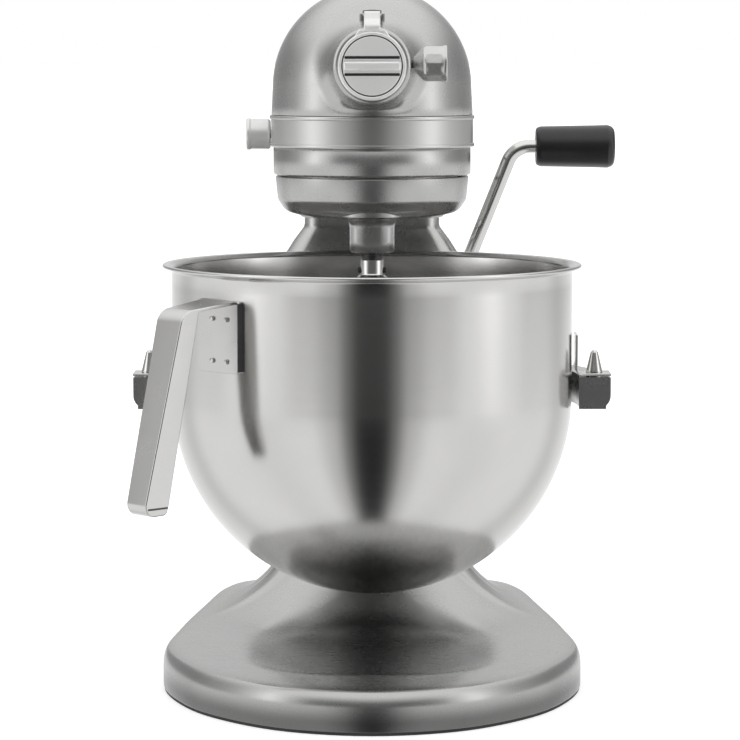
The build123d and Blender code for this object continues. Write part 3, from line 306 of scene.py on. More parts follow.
def round_section(half_a, half_b, radius, steps=3):
    corners = [(-half_a, -half_b), (half_a, -half_b), (half_a, half_b), (-half_a, half_b)]
    return rounded(corners, radius, steps, closed=True)


def smooth_loop(points, per_span=8, closed=True):
    """Catmull-Rom curve through the points."""
    result = []
    count = len(points)
    spans = count if closed else count - 1
    for i in range(spans):
        near = [i + k for k in (-1, 0, 1, 2)]
        p = [points[n % count] if closed else points[min(max(n, 0), count - 1)] for n in near]
        for j in range(per_span):
            t = j / per_span
            result.append(tuple(
                0.5 * (2 * b + (c - a) * t + (2 * a - 5 * b + 4 * c - d) * t ** 2
                       + (3 * b - a - 3 * c + d) * t ** 3)
                for a, b, c, d in zip(*p)))
    if not closed:
        result.append(points[-1])
    return result


# ---- materials
def add(tree, kind, inputs=None, **props):
    """Add a node; an input is a value or another node's output."""
    node = tree.nodes.new(kind)
    for key, value in props.items():
        setattr(node, key, value)
    for key, value in (inputs or {}).items():
        if isinstance(value, bpy.types.NodeSocket):
            tree.links.new(value, node.inputs[key])
        else:
            node.inputs[key].default_value = value
    return node


def calc(tree, operation, *values):
    return add(tree, "ShaderNodeMath", dict(enumerate(values)), operation=operation).outputs[0]


def axes_of(tree, place):
    return add(tree, "ShaderNodeSeparateXYZ", {0: place}).outputs[:]


def flat_length(tree, x, y):
    """Length of the vector (x, y, 0)."""
    flat = add(tree, "ShaderNodeCombineXYZ", {0: x, 1: y, 2: 0.0})
    return add(tree, "ShaderNodeVectorMath", {0: flat.outputs[0]}, operation="LENGTH").outputs["Value"]


def soft_switch(tree, value, low, high, start=0.0):
    """Smooth climb from start to 1 while the value goes from low to high."""
    return add(tree, "ShaderNodeMapRange", {"Value": value, "From Min": low, "From Max": high, "To Min": start},
               interpolation_type="SMOOTHSTEP").outputs[0]


def mix_colours(tree, factor, first, second):
    """Mix of two colours; the sockets are reached by number because the names repeat."""
    return add(tree, "ShaderNodeMix", {0: factor, 6: first, 7: second}, data_type="RGBA").outputs[2]


def ramp(tree, factor, stops, interpolation="LINEAR"):
    """Colours from (position, colour) stops."""
    node = add(tree, "ShaderNodeValToRGB", {"Fac": factor})
    node.color_ramp.interpolation = interpolation
    elements = node.color_ramp.elements
    while len(elements) < len(stops):
        elements.new(0.5)
    for element, (position, colour) in zip(elements, stops):
        element.position = position
        element.color = (*colour, 1)
    return node.outputs["Color"]


# Painted shading of the base, lengths in metres: the light that is left at the rim's foot and in the hollow.
FOOT_LIGHT, HOLLOW_LIGHT = 0.36, 0.30
FOOT_FADE = (0.006, 0.019)
SHADE_HALF_X, SHADE_HALF_Y, SHADE_Y = 0.071, 0.082, 0.006
HOLLOW_FADE = (0.82, 1.08)
GRAIN_RADIUS = 0.1


def base_shade(tree, place):
    """Share of light on the base: low in the hollow under the bowl and towards the foot of the rim."""
    x, y, z = axes_of(tree, place)
    side = soft_switch(tree, z, *FOOT_FADE, FOOT_LIGHT)
    across = calc(tree, "DIVIDE", x, SHADE_HALF_X)
    along = calc(tree, "DIVIDE", calc(tree, "SUBTRACT", y, SHADE_Y), SHADE_HALF_Y)
    hollow = soft_switch(tree, flat_length(tree, across, along), *HOLLOW_FADE, HOLLOW_LIGHT)
    return calc(tree, "MULTIPLY", side, hollow)


def surface(name, colour, metallic, roughness, vary=0.06, spread=0.05, bump=0.02, bump_scale=900.0, scale=60.0,
            stretch=(1, 1, 1), coat=0.0, coat_roughness=0.1, anisotropy=0.0, tangent=None, turned=False,
            specular=0.5, wear=0.0, shaded=False):
    """A finish with cloudy colour, uneven gloss and a fine relief.

    turned maps the grain on rings about the Z axis, stretch draws it out, wear lightens the raised edges,
    and shaded paints shade into the base's hollow and at the foot of its rim.
    """
    material = bpy.data.materials.new(name)
    material.use_nodes = True
    tree = material.node_tree
    shader = tree.nodes["Principled BSDF"]
    place = add(tree, "ShaderNodeTexCoord").outputs["Object"]
    grain_place = place
    if turned:
        x, y, z = axes_of(tree, place)
        around = calc(tree, "MULTIPLY", calc(tree, "ARCTAN2", y, x), GRAIN_RADIUS)
        grain_place = add(tree, "ShaderNodeCombineXYZ", {0: around, 1: flat_length(tree, x, y), 2: z}).outputs[0]
    grain_map = add(tree, "ShaderNodeMapping", {"Vector": grain_place, "Scale": stretch}).outputs[0]
    clouds = add(tree, "ShaderNodeTexNoise", {"Vector": place, "Scale": scale, "Detail": 4.0})
    grain = add(tree, "ShaderNodeTexNoise", {"Vector": grain_map, "Scale": bump_scale, "Detail": 3.0})
    dark = tuple(c * (1 - vary) for c in colour)
    light = tuple(min(1.0, c * (1 + vary)) for c in colour)
    tint = ramp(tree, clouds.outputs["Fac"], [(0.3, dark), (0.7, light)])
    if shaded:
        shade = base_shade(tree, place)
        tint = add(tree, "ShaderNodeVectorMath", {0: tint, 1: shade}, operation="MULTIPLY").outputs[0]
    if wear:
        edge = add(tree, "ShaderNodeNewGeometry").outputs["Pointiness"]
        edge = add(tree, "ShaderNodeMapRange", {"Value": edge, "From Min": 0.53, "From Max": 0.62, "To Max": wear})
        rub = calc(tree, "MULTIPLY", edge.outputs[0], clouds.outputs["Fac"])
        tint = mix_colours(tree, rub, tint, (*[min(1, c * 2.2 + 0.05) for c in colour], 1))
    tree.links.new(tint, shader.inputs["Base Color"])
    gloss = add(tree, "ShaderNodeMapRange", {"Value": grain.outputs["Fac"], "From Min": 0.25, "From Max": 0.75,
                                             "To Min": max(0.02, roughness - spread), "To Max": roughness + spread})
    tree.links.new(gloss.outputs[0], shader.inputs["Roughness"])
    relief = add(tree, "ShaderNodeBump", {"Height": grain.outputs["Fac"], "Strength": 1.0, "Distance": bump * MM})
    tree.links.new(relief.outputs[0], shader.inputs["Normal"])
    settings = {"Metallic": metallic, "Specular IOR Level": specular, "Coat Weight": coat,
                "Coat Roughness": coat_roughness, "Anisotropic": anisotropy, "Anisotropic Rotation": 0.25}
    for key, value in settings.items():
        shader.inputs[key].default_value = value
    if tangent:
        line = add(tree, "ShaderNodeTangent", direction_type="RADIAL", axis=tangent)
        tree.links.new(line.outputs[0], shader.inputs["Tangent"])
    return material


# For each finish: colour, metal, roughness, change of colour, change of gloss, relief in millimetres, relief scale.
FINISHES = {
    "silver_paint": ((0.50, 0.50, 0.493), 0.92, 0.27, 0.012, 0.012, 0.0002, 90,
                     dict(coat=0.2, coat_roughness=0.12)),
    # The base's paint: the silver paint a little darker, with painted shade in the hollow under the bowl and at the
    # foot of the rim.
    "base_shaded_paint": ((0.46, 0.46, 0.453), 0.92, 0.27, 0.012, 0.012, 0.0002, 90,
                   dict(coat=0.1, coat_roughness=0.12, shaded=True)),
    "band_silver": ((0.62, 0.62, 0.61), 0.93, 0.3, 0.012, 0.02, 0.002, 120, dict(stretch=(1, 1, 30), turned=True)),
    "bowl_steel": ((0.66, 0.655, 0.645), 1.0, 0.2, 0.01, 0.015, 0.0002, 60,
                   dict(stretch=(0.3, 8, 60), turned=True, anisotropy=0.6, tangent="Z")),
    "beater_steel": ((0.62, 0.62, 0.61), 1.0, 0.3, 0.05, 0.08, 0.01, 500, dict()),
    "polished_steel": ((0.68, 0.675, 0.66), 1.0, 0.12, 0.02, 0.04, 0.002, 300, dict()),
    "satin_steel": ((0.66, 0.655, 0.645), 1.0, 0.26, 0.015, 0.02, 0.0002, 80, dict()),
    "knob_chrome": ((0.82, 0.82, 0.81), 0.45, 0.3, 0.01, 0.02, 0.0012, 500, dict()),
    "knob_satin": ((0.60, 0.60, 0.59), 0.85, 0.24, 0.01, 0.02, 0.0002, 80, dict()),
    "black_grip": ((0.012, 0.012, 0.013), 0.0, 0.34, 0.15, 0.05, 0.015, 1500, dict(coat=0.15, coat_roughness=0.25)),
    # black_plastic also colours the strips of painted shade in the speed slot and in the cover's grooves.
    "black_plastic": ((0.016, 0.016, 0.017), 0.0, 0.45, 0.15, 0.05, 0.02, 1200, dict()),
    "foot_rubber": ((0.03, 0.03, 0.03), 0.0, 0.8, 0.2, 0.05, 0.05, 600, dict()),
    "zinc_screw": ((0.55, 0.56, 0.57), 1.0, 0.3, 0.08, 0.05, 0.01, 400, dict()),
    "machined_steel": ((0.55, 0.55, 0.56), 1.0, 0.28, 0.06, 0.05, 0.006, 300,
                       dict(stretch=(1, 1, 12), turned=True)),
    # dark_steel also colours the strips of painted shade on the bowl's handle.
    "dark_steel": ((0.10, 0.10, 0.105), 0.9, 0.4, 0.15, 0.05, 0.02, 300, dict()),
    "gear_steel": ((0.36, 0.35, 0.34), 1.0, 0.33, 0.1, 0.05, 0.01, 350, dict(wear=0.5)),
    "core_steel": ((0.28, 0.28, 0.29), 0.9, 0.45, 0.1, 0.05, 0.06, 40, dict(stretch=(1, 60, 1))),
    "cast_aluminium": ((0.46, 0.46, 0.455), 0.85, 0.42, 0.07, 0.05, 0.05, 450, dict()),
    "bronze_bush": ((0.50, 0.32, 0.14), 1.0, 0.35, 0.1, 0.05, 0.01, 400, dict()),
    "copper": ((0.72, 0.33, 0.18), 1.0, 0.3, 0.12, 0.05, 0.1, 60, dict(stretch=(1, 30, 1))),
    "carbon": ((0.02, 0.02, 0.021), 0.3, 0.5, 0.2, 0.05, 0.02, 800, dict()),
    "board_green": ((0.02, 0.16, 0.07), 0.0, 0.35, 0.15, 0.05, 0.03, 500, dict(scale=150)),
}
MATERIALS = {name: surface(name + "_finish", *numbers, **others) for name, (*numbers, others) in FINISHES.items()}


def place_piece(obj, body, slot, *nodes, material=None):
    """Give a piece its finish (the slot's own unless another is given) and its body, and hide the CAD nodes that it
    stands for.
    """
    obj.data.materials.clear()
    obj.data.materials.append(material or MATERIALS[slot])
    for face in obj.data.polygons:
        face.material_index = 0
    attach(obj, body)
    if nodes:
        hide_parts(*nodes)
    return obj


def dress_cad_nodes():
    """Every CAD node that stays visible gets the procedural finish of its own slot."""
    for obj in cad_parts.values():
        for slot in obj.material_slots:
            name = slot.material.name.split(".")[0] if slot.material else ""
            if name in MATERIALS:
                slot.material = MATERIALS[name]


# ---- outlines
BASE_HALF_OUTLINE = [(50, -122.5), (89, -88), (112, -48), (125.3, 5), (120.5, 70), (109.5, 135), (99.5, 185),
                     (83, 214), (46, 229)]


def base_outline():
    points = [(0, BASE_LOW[1])] + BASE_HALF_OUTLINE + [(0, BASE_HIGH[1])]
    points += [(-x, y) for x, y in reversed(BASE_HALF_OUTLINE)]
    return smooth_loop(points, 12)


def trapezoid(half_front, half_rear, y_front, y_back, r_front, r_rear, steps=8):
    """Rounded plan outline that narrows towards the back."""
    corners = [(-half_front, y_front), (half_front, y_front), (half_rear, y_back), (-half_rear, y_back)]
    return rounded(corners, [r_front, r_front, r_rear, r_rear], steps, closed=True)


def resample(points, count, centre):
    """Points of a closed outline at even turns round a centre, the first one straight to the front."""
    cx, cy = centre
    polar = sorted((math.atan2(x - cx, -(y - cy)), math.hypot(x - cx, y - cy)) for x, y in points)
    polar = [(a - 2 * math.pi, r) for a, r in polar[-2:]] + polar + [(a + 2 * math.pi, r) for a, r in polar[:2]]
    result = []
    k = 0
    for i in range(count):
        angle = -math.pi + 2 * math.pi * i / count
        while polar[k + 1][0] < angle:
            k += 1
        (a0, r0), (a1, r1) = polar[k], polar[k + 1]
        radius = r0 + (r1 - r0) * (angle - a0) / max(a1 - a0, 1e-9)
        result.append((cx + radius * math.sin(angle), cy - radius * math.cos(angle)))
    return result


def nose_plan(half, y_back, steps):
    """Head plan: half circle in front and straight sides back to y_back."""
    points = arc(0, 0, half, 180, 360, steps)
    sides = 6
    points += [(half, y_back * i / sides) for i in range(1, sides + 1)]
    points += [(-half, y_back * i / sides) for i in range(sides, 0, -1)]
    return points


# ---- base and column
def base_edge():
    return resample(base_outline(), BASE_COLUMNS, BASE_CENTRE)


def base_piece():
    """Casting from the column's foot out over the flat front and down round the rim."""
    foot = resample(trapezoid(*COLUMN_PLAN), BASE_COLUMNS, BASE_CENTRE)
    edge = base_edge()
    rings = []
    steps = 44
    for s in range(steps + 1):
        t = (s / steps) ** 1.35
        ring = []
        for (fx, fy), (ex, ey) in zip(foot, edge):
            reach = math.hypot(ex - fx, ey - fy)
            span = max(reach - RIM_RADIUS, 0.35 * reach)
            d = t * span
            rise = foot_rise(min(1.0, d / min(FLARE_LENGTH, span)))
            x, y = fx + (ex - fx) * d / reach, fy + (ey - fy) * d / reach
            top_z = BASE_TOP_Z + rear_rise(y)
            ring.append((x, y, top_z + (COLUMN_LOW[2] - top_z) * rise - dish_depth(x, y)))
        rings.append(ring)
    top = rings[-1]
    side = rounded([(0.0, 0.0), (1.0, -0.06), (1.0, -1.0)], [0, 0.95, 0], 10)[1:]
    for k, drop in side:
        rings.append([(tx + (ex - tx) * k, ty + (ey - ty) * k, tz + (tz - BASE_FOOT_Z) * drop)
                      for (tx, ty, tz), (ex, ey) in zip(top, edge)])
    low = BASE_UNDER_Z
    rings += inset_rings(edge, ((0.0, low + 1.2), (0.4, low + 0.3), (1.2, low), (8.0, low), (8.0, low + 6.0)))
    rings.append(level(foot, low + 6.0))
    return stack("base_shell", rings, sharp=50.0, closed=True)


def foot_rise(u):
    """Share of the climb to the column at u, from 0 at its foot: a steep part and a long soft one."""
    steep, fade, soft, power = 0.42, 0.06, 0.58, 1.9
    return steep * math.exp(-u / fade) * (1 - u) + soft * (1 - u) ** power


def inset_rings(edge, insets):
    """The base's outline drawn in towards the middle, one ring for each (inset, height)."""
    rings = []
    for inset, z in insets:
        ring = []
        for x, y in edge:
            dx, dy = x - BASE_CENTRE[0], y - BASE_CENTRE[1]
            keep = 1 - inset / math.hypot(dx, dy)
            ring.append((BASE_CENTRE[0] + dx * keep, BASE_CENTRE[1] + dy * keep, z))
        rings.append(ring)
    return rings


def dish_depth(x, y):
    """Broad smooth hollow under the bowl."""
    away = (abs(x / HOLLOW_HALF[0]) ** 3 + abs((y - HOLLOW_Y) / HOLLOW_HALF[1]) ** 3) ** (1 / 3)
    return HOLLOW_DEPTH * (1 - smooth_step((away - 0.80) / 0.30))


def rear_rise(y):
    """The edge climbs a little towards the back."""
    height, start, length = 7.5, 40.0, 170.0
    return height * smooth_step((y - start) / length)


def gasket_piece():
    """Thin dark strip that the base stands on."""
    rings = inset_rings(base_edge(), ((0.9, 1.9), (0.9, 0.4), (1.3, 0.05), (7.0, 0.05), (7.0, 1.9)))
    return stack("base_gasket", rings, sharp=50.0, closed=True)


def column_piece():
    """Column with shoulders that draw in to the neck, and the window behind the bowl."""
    levels = [(0, COLUMN_LOW[2]), (0, 120.0), (0, 165.0), (0, 210.0), (0, 250.0), (0.04, 252.4), (0.14, 254.2),
              (0.5, 261.5), (0.88, 268.0), (0.97, 269.6), (1.0, 271.5), (1.0, COLUMN_HIGH[2])]
    rings = []
    for k, z in levels:
        rings.append(level(trapezoid(*[a + (b - a) * k for a, b in zip(COLUMN_PLAN, NECK_PLAN)], steps=10), z))
    column = stack("column_shell", rings, sharp=45.0)
    window = soft_box("window", (-17, 120, 121), (17, 149, 207), 3.0)
    return carve(column, [window])


# ---- head
def dome_half(z):
    """Half width of the upper housing at height z."""
    if z < HEAD_CENTRE_Z:
        down = (HEAD_CENTRE_Z - z) / (HEAD_CENTRE_Z - BAND_HIGH[2])
        return HEAD_RADIUS + (HEAD_HALF - HEAD_RADIUS) * down
    return math.sqrt(max(HEAD_RADIUS ** 2 - (z - HEAD_CENTRE_Z) ** 2, 0.0))


def dome_front(x, z):
    """Y of the dome's round front."""
    half = dome_half(z)
    return -math.sqrt(max(half * half - x * x, 0.0))


def housing_piece():
    """Upper housing: domed shell, the hub flowing out of it, ears for the cover and the hub's bore."""
    low = BAND_HIGH[2]
    rings = [nose_ring(HEAD_HALF - 0.9, low), nose_ring(HEAD_HALF - 0.25, low + 0.35)]
    rings += [nose_ring(dome_half(z), z) for z in (low + 1.1, low + 6, low + 11.5, HEAD_CENTRE_Z)]
    steps = 32
    for i in range(1, steps + 1):
        angle = math.radians(90 * i / steps)
        rings.append(nose_ring(HEAD_RADIUS * math.cos(angle), HEAD_CENTRE_Z + HEAD_RADIUS * math.sin(angle)))
    dome = stack("upper_housing", rings)
    dome = carve(dome, [hub_flare(), hub_ears()], "UNION")
    slot = soft_box("slot", (-5.4, -90, 396.4), (5.4, -38.5, 412), 0)
    bore = lathe("bore", [(0, HUB_FACE_Y - 5), (HUB_BORE + 0.9, HUB_FACE_Y - 5), (HUB_BORE + 0.9, HUB_FACE_Y),
                          (HUB_BORE, HUB_FACE_Y + 0.9), (HUB_BORE, -62.0), (13.0, -62.0), (13.0, -50.0),
                          (0, -50.0)], "Y", (0, 0, HUB_Z), 72)
    stud = lathe("stud_hole", [(0, 0), (2.7, 0), (2.7, 26), (0, 26)], "X", (0, -74.0, 374.5), 24)
    return carve(dome, [slot, bore, stud], sharp=28.0)


def nose_ring(half, z):
    return level(nose_plan(max(half, 0.01), HEAD_JOINT_Y, 64), z)


def hub_flare():
    """Closed boss whose side leaves the hub straight and meets the dome along its surface."""
    columns, steps = 120, 14
    angles = [2 * math.pi * i / columns for i in range(columns)]
    start_y = HUB_FACE_Y + 6.5
    face = [(0.0, HUB_FACE_Y), (19.9, HUB_FACE_Y), (21.2, HUB_FACE_Y + 0.5), (22.0, HUB_FACE_Y + 1.4),
            (HUB_RADIUS, HUB_FACE_Y + 2.6), (HUB_RADIUS, start_y)]
    rings = [[hub_point(radius, y, angle) for angle in angles] for radius, y in face]
    curves = [flare_curve(angle, start_y, steps) for angle in angles]
    rings += [[curve[s] for curve in curves] for s in range(1, steps + 1)]
    rings.append([(p[0] * 0.9, p[1] + 7.0, HUB_Z + (p[2] - HUB_Z) * 0.9) for p in rings[-1]])
    rings.append([(0.0, -30.0, HUB_Z)] * columns)
    return stack("flare", rings)


def hub_point(radius, y, angle):
    return (radius * math.sin(angle), y, HUB_Z + radius * math.cos(angle))


def dome_point(reach, angle):
    """Point on the dome at a distance from the hub's axis."""
    x, z = reach * math.sin(angle), HUB_Z + reach * math.cos(angle)
    return (x, dome_front(x, z), z)


def flare_curve(angle, start_y, steps):
    """Bezier from the hub's side to the dome for one direction round the hub."""
    reach, soften, back = 35.0, 2.6, 4.0
    down = -math.cos(angle)
    if down > 0.2:
        limit = (HUB_Z - BAND_HIGH[2] - 1.2) / down
        reach = -soften * math.log(math.exp(-reach / soften) + math.exp(-limit / soften))
    end = dome_point(reach, angle)
    end = (end[0], end[1] + 0.02, end[2])
    pull_end = dome_point(reach - back, angle)
    slope = [p - q for p, q in zip(pull_end, end)]
    length = math.sqrt(sum(c * c for c in slope))
    start = hub_point(HUB_RADIUS, start_y, angle)
    gap = math.dist(start, end)
    p1 = (start[0], start[1] + 0.42 * gap, start[2])
    p2 = tuple(e + c / length * 0.34 * gap for e, c in zip(end, slope))
    curve = []
    for s in range(steps + 1):
        t = s / steps
        w = ((1 - t) ** 3, 3 * t * (1 - t) ** 2, 3 * t * t * (1 - t), t ** 3)
        curve.append(tuple(sum(k * p[i] for k, p in zip(w, (start, p1, p2, end))) for i in range(3)))
    return curve


def hub_ears():
    return soft_box("ears", (-7.4, -50.0, 385.0), (7.4, -38.0, 403.5), 1.2)


def band_piece():
    """Strip round the head: a plain field between two rounded edges."""
    z0, z1 = BAND_LOW[2], BAND_HIGH[2]
    edge, field = BAND_HALF, BAND_HALF - 0.8
    lower = rounded([(57.9, z0), (edge, z0), (edge, z0 + 2.1), (field, z0 + 2.3)], [0, 0.7, 0.7, 0], 4)
    upper = [(r, z0 + z1 - z) for r, z in reversed(lower)]
    profile = lower + upper
    rows = []
    for radius, z in profile:
        plan = [(-radius, HEAD_JOINT_Y), (-radius, HEAD_JOINT_Y / 2)] + arc(0, 0, radius, 180, 360, 72)
        rows.append(level(plan + [(radius, HEAD_JOINT_Y / 2), (radius, HEAD_JOINT_Y)], z))
    band = stack("trim_strip", list(zip(*rows)), sharp=50.0)
    y, z = SPEED_Y, SPEED_Z
    cut = soft_box("cut", (-66, y - 4.0, z - 4.0), (-50, y + SPEED_TRAVEL + 4.0, z + 4.0), 0)
    return carve(band, [cut], sharp=40.0)


def speed_slot_shade_strip():
    """Painted shade: dark strip behind the slot that the speed lever runs in, standing in for its shaded opening.
    """
    y, z = SPEED_Y, SPEED_Z
    return soft_box("speed_slot_painted_shade", (-58.4, y - 5.5, z - 5.0), (-57.4, y + SPEED_TRAVEL + 5.5, z + 5.0), 0.4)


def gearcase_piece():
    """Lower housing: round front, bed that draws in to the column, and the flange."""
    z0, half, band_low = GEARCASE_Z, GEARCASE_HALF, BAND_LOW[2]
    levels = ((half - 4, z0), (half - 1.4, z0), (half - 0.4, z0 + 0.5), (half, z0 + 1.6), (half, 317.0),
              (half, band_low - 0.9), (half - 0.6, band_low - 0.2), (57.6, band_low), (57.6, BAND_HIGH[2]))
    upper = stack("gearcase_shell", [nose_ring(r, z) for r, z in levels], sharp=50.0)
    wide = (57.0, 50.0, 66.0, 221.0, 18.0, 30.0)
    narrow = (46.5, 34.0, 92.0, 223.0, 18.0, 24.0)
    flange = 1.4
    rings = []
    low = GEARCASE_LOW[2]
    for inset, z in ((1.6, low), (0.5, low + 0.45), (0.0, low + 1.6), (0.0, low + 4.6), (0.5, low + 5.7),
                     (flange, low + 6.4)):
        plan = trapezoid(narrow[0] - inset, narrow[1] - inset, narrow[2] + inset, narrow[3] - inset, 18, 24, 10)
        rings.append(level(plan, z))
    steps = 10
    for i in range(1, steps + 1):
        t = i / steps
        k = 0.45 * t + 0.55 * (1 - math.cos(t * math.pi / 2))
        shape = [a - flange * (1 - t) * (1 if n < 2 else 0) + (b - a) * k
                 for n, (a, b) in enumerate(zip(narrow, wide))]
        rings.append(level(trapezoid(*shape, steps=10), low + 6.4 + (z0 + 1.0 - low - 6.4) * t))
    bed = stack("bed", rings, sharp=50.0)
    return join("gearcase_shell", [upper, bed], sharp=50.0)


def tail_scale(y):
    """How far the head's section has shrunk towards the rear end."""
    u = (y - HEAD_JOINT_Y) / (TAIL_HIGH[1] - HEAD_JOINT_Y)
    return 0.5 + 0.5 * math.sqrt(max(1 - u ** 2.6, 0.0))


def tail_ring(y, k, inset=0.0):
    """Section of the rear end at y, shrunk by k towards its centre."""
    centre = TAIL_CENTRE_Z
    half = HEAD_HALF * k - inset
    r = HEAD_RADIUS * k - inset
    top_z = centre + (HEAD_CENTRE_Z - centre) * k
    low_z = centre - (centre - GEARCASE_Z - 0.4) * k + inset
    low = rounded([(half, low_z + 20), (half, low_z), (-half, low_z), (-half, low_z + 20)], [0, 8, 8, 0], 6)
    top = arc(0, top_z, r, 180, 0, 48)
    return [(x, y, z) for x, z in low + top]


def tail_piece():
    """Rear end cover, closing the head with a rounded back and a row of vents."""
    start = HEAD_JOINT_Y + 0.3
    rings = [tail_ring(start, 1.0, 0.8), tail_ring(start + 0.5, 1.0, 0.1)]
    steps = 26
    for i in range(1, steps + 1):
        y = start + (TAIL_HIGH[1] - start) * math.sin(i / steps * math.pi / 2)
        rings.append(tail_ring(y, tail_scale(y)))
    rings.append(tail_ring(TAIL_HIGH[1], 0.46))
    tail = stack("rear_end_shell", rings, sharp=50.0)
    vents = [soft_box("vent", (5.0 * i - 1.2, 222, 362), (5.0 * i + 1.2, 240, 376), 0.9) for i in range(-4, 5)]
    hole = lathe("hole", [(0, 228), (2.3, 228), (2.3, 240), (0, 240)], "Y", (0, 0, 340), 24)
    return carve(tail, vents + [hole], sharp=40.0)


# ---- hub fittings
def hub_cover_piece():
    """Disc over the bore with a grip bar between two grooves, and the arm back to the hinge."""
    y1 = COVER_BACK_Y
    disc = lathe("disc", rounded([(0, y1), (19.5, y1), (19.5, y1 - 2.0), (18.9, y1 - 3.6), (17.7, y1 - 3.6),
                                  (17.2, y1 - 2.7), (16.8, y1 - 2.7), (16.4, y1 - 3.3), (0, y1 - 3.3)],
                                 [0, 0.4, 0.6, 0.6, 0.4, 0.1, 0.1, 0.4, 0], 4), "Y", (0, 0, HUB_Z), 128)
    grooves = [soft_box("groove", (-15.6, y1 - 6, z - 0.8), (15.6, y1 - 1.3, z + 0.8), 0.4)
               for z in GROOVE_LEVELS]
    disc = carve(disc, grooves)
    bar = soft_box("bar", (-16.2, COVER_LOW[1] + 0.4, HUB_Z - 2.6), (16.2, y1 - 2.6, HUB_Z + 2.6), 1.2)
    shape = rounded([(-13.0, HUB_Z + 12.0), (13.0, HUB_Z + 12.0), (10.2, HUB_Z + 16.4), (7.4, HUB_Z + 20.4),
                     (-7.4, HUB_Z + 20.4), (-10.2, HUB_Z + 16.4)], [0, 0, 3.0, 1.4, 1.4, 3.0], 4, True)
    tab = stack("tab", [[(x * k, y, HUB_Z + (z - HUB_Z) * (1 - (1 - k) * 0.4)) for x, z in shape]
                        for y, k in ((y1 - 0.2, 1.0), (y1 - 2.4, 1.0), (y1 - 2.9, 0.95))])
    path = rounded([(y1 - 1.4, 391.0), (y1 - 1.4, 397.6), (HINGE_Y, HINGE_Z)], [0, 4.0, 0], 8)
    arm = sweep("arm", [(0, y, z) for y, z in path], lambda i: round_section(4.7, 1.3 + 0.09 * i, 0.7))
    knuckle = lathe("knuckle", rounded([(0, -4.7), (3.0, -4.7), (3.0, 4.7), (0, 4.7)], [0, 0.5, 0.5, 0], 3), "X",
                    (0, HINGE_Y, HINGE_Z), 40)
    return join("hub_cover_disc", [disc, bar, tab, arm, knuckle])


def groove_shade_fills():
    """Painted shade: dark strips in the bottoms of the cover's two grooves and of the fine ring round its face."""
    y1 = COVER_BACK_Y
    bars = [soft_box("shade_fill", (-15.7, y1 - 3.0, z - 0.75), (15.7, y1 - 1.0, z + 0.75), 0.3) for z in GROOVE_LEVELS]
    inner_r, outer_r, back, front = 16.7, 17.35, y1 - 1.6, y1 - 2.95
    section = [(inner_r, back), (outer_r, back), (outer_r, front), (inner_r, front), (inner_r, back)]
    ring = lathe("ring", section, "Y", (0, 0, HUB_Z), 128)
    return join("hub_cover_groove_shade", [*bars, ring])


def hub_knob_piece():
    """Clamping knob: a cone at its inner end, a faceted grip and a thin rim at its outer end."""
    x0, x1 = KNOB_LOW[0], KNOB_HIGH[0]
    profile = rounded([(0, x0), (3.6, x0), (9.6, x0 + 5.8), (10.3, x0 + 7.2), (10.3, x1 - 2.2), (10.5, x1 - 1.9),
                       (10.5, x1), (0, x1)], [0, 0.5, 1.2, 0.6, 0.2, 0.2, 0.7, 0], 5)
    grip_start, grip_end, facets = x0 + 6.4, x1 - 2.3, 10

    def facet(angle, radius, height):
        inside = min(max((height - grip_start) / 1.5, 0.0), max(grip_end - height, 0.0) / 0.5, 1.0)
        local = (angle % (2 * math.pi / facets)) - math.pi / facets
        flat = radius * math.cos(math.pi / facets) / math.cos(local)
        return radius + (min(flat * 1.012, radius) - radius) * inside

    long_profile = []
    for (r0, h0), (r1, h1) in zip(profile, profile[1:]):
        cuts = max(1, int(abs(h1 - h0) / 1.0))
        long_profile += [(r0 + (r1 - r0) * i / cuts, h0 + (h1 - h0) * i / cuts) for i in range(cuts)]
    long_profile.append(profile[-1])
    return lathe("hub_clamp_knob", long_profile, "X", (0, *middle(KNOB_LOW, KNOB_HIGH)[1:]), 160, 35.0, facet)


def speed_knob_piece():
    """Short round button on the speed lever."""
    x0, x1 = SPEED_LOW[0], SPEED_HIGH[0]
    r = (SPEED_HIGH[2] - SPEED_LOW[2]) / 2
    profile = rounded([(0, x0 + 0.5), (r - 2.6, x0 + 0.5), (r - 1.9, x0), (r, x0), (r, x0 + 2.2),
                       (r - 0.5, x0 + 2.6), (r - 0.5, x1 - 1.0), (r - 1.4, x1), (0, x1)],
                      [0, 0.4, 0.4, 1.0, 0.3, 0.3, 0.4, 0.4, 0], 4)
    return lathe("speed_lever_knob", profile, "X", (0, SPEED_Y, SPEED_Z), 80)


def grip_piece():
    """Black handle of the lift lever, a long barrel that swells towards its end."""
    x0, x1 = GRIP_LOW[0], GRIP_HIGH[0]
    r = (GRIP_HIGH[2] - GRIP_LOW[2]) / 2
    profile = rounded([(4.5, x0), (r - 2.0, x0), (r - 0.9, x0 + 3.0), (r - 0.25, x0 + 38.0), (r, x0 + 46.0),
                       (r - 1.5, x1 - 1.0), (0, x1)], [0, 1.6, 1.0, 4.0, 2.0, 3.4, 0], 5)
    return lathe("lift_lever_grip", profile, "X", (0, *middle(GRIP_LOW, GRIP_HIGH)[1:]), 96, 60.0)


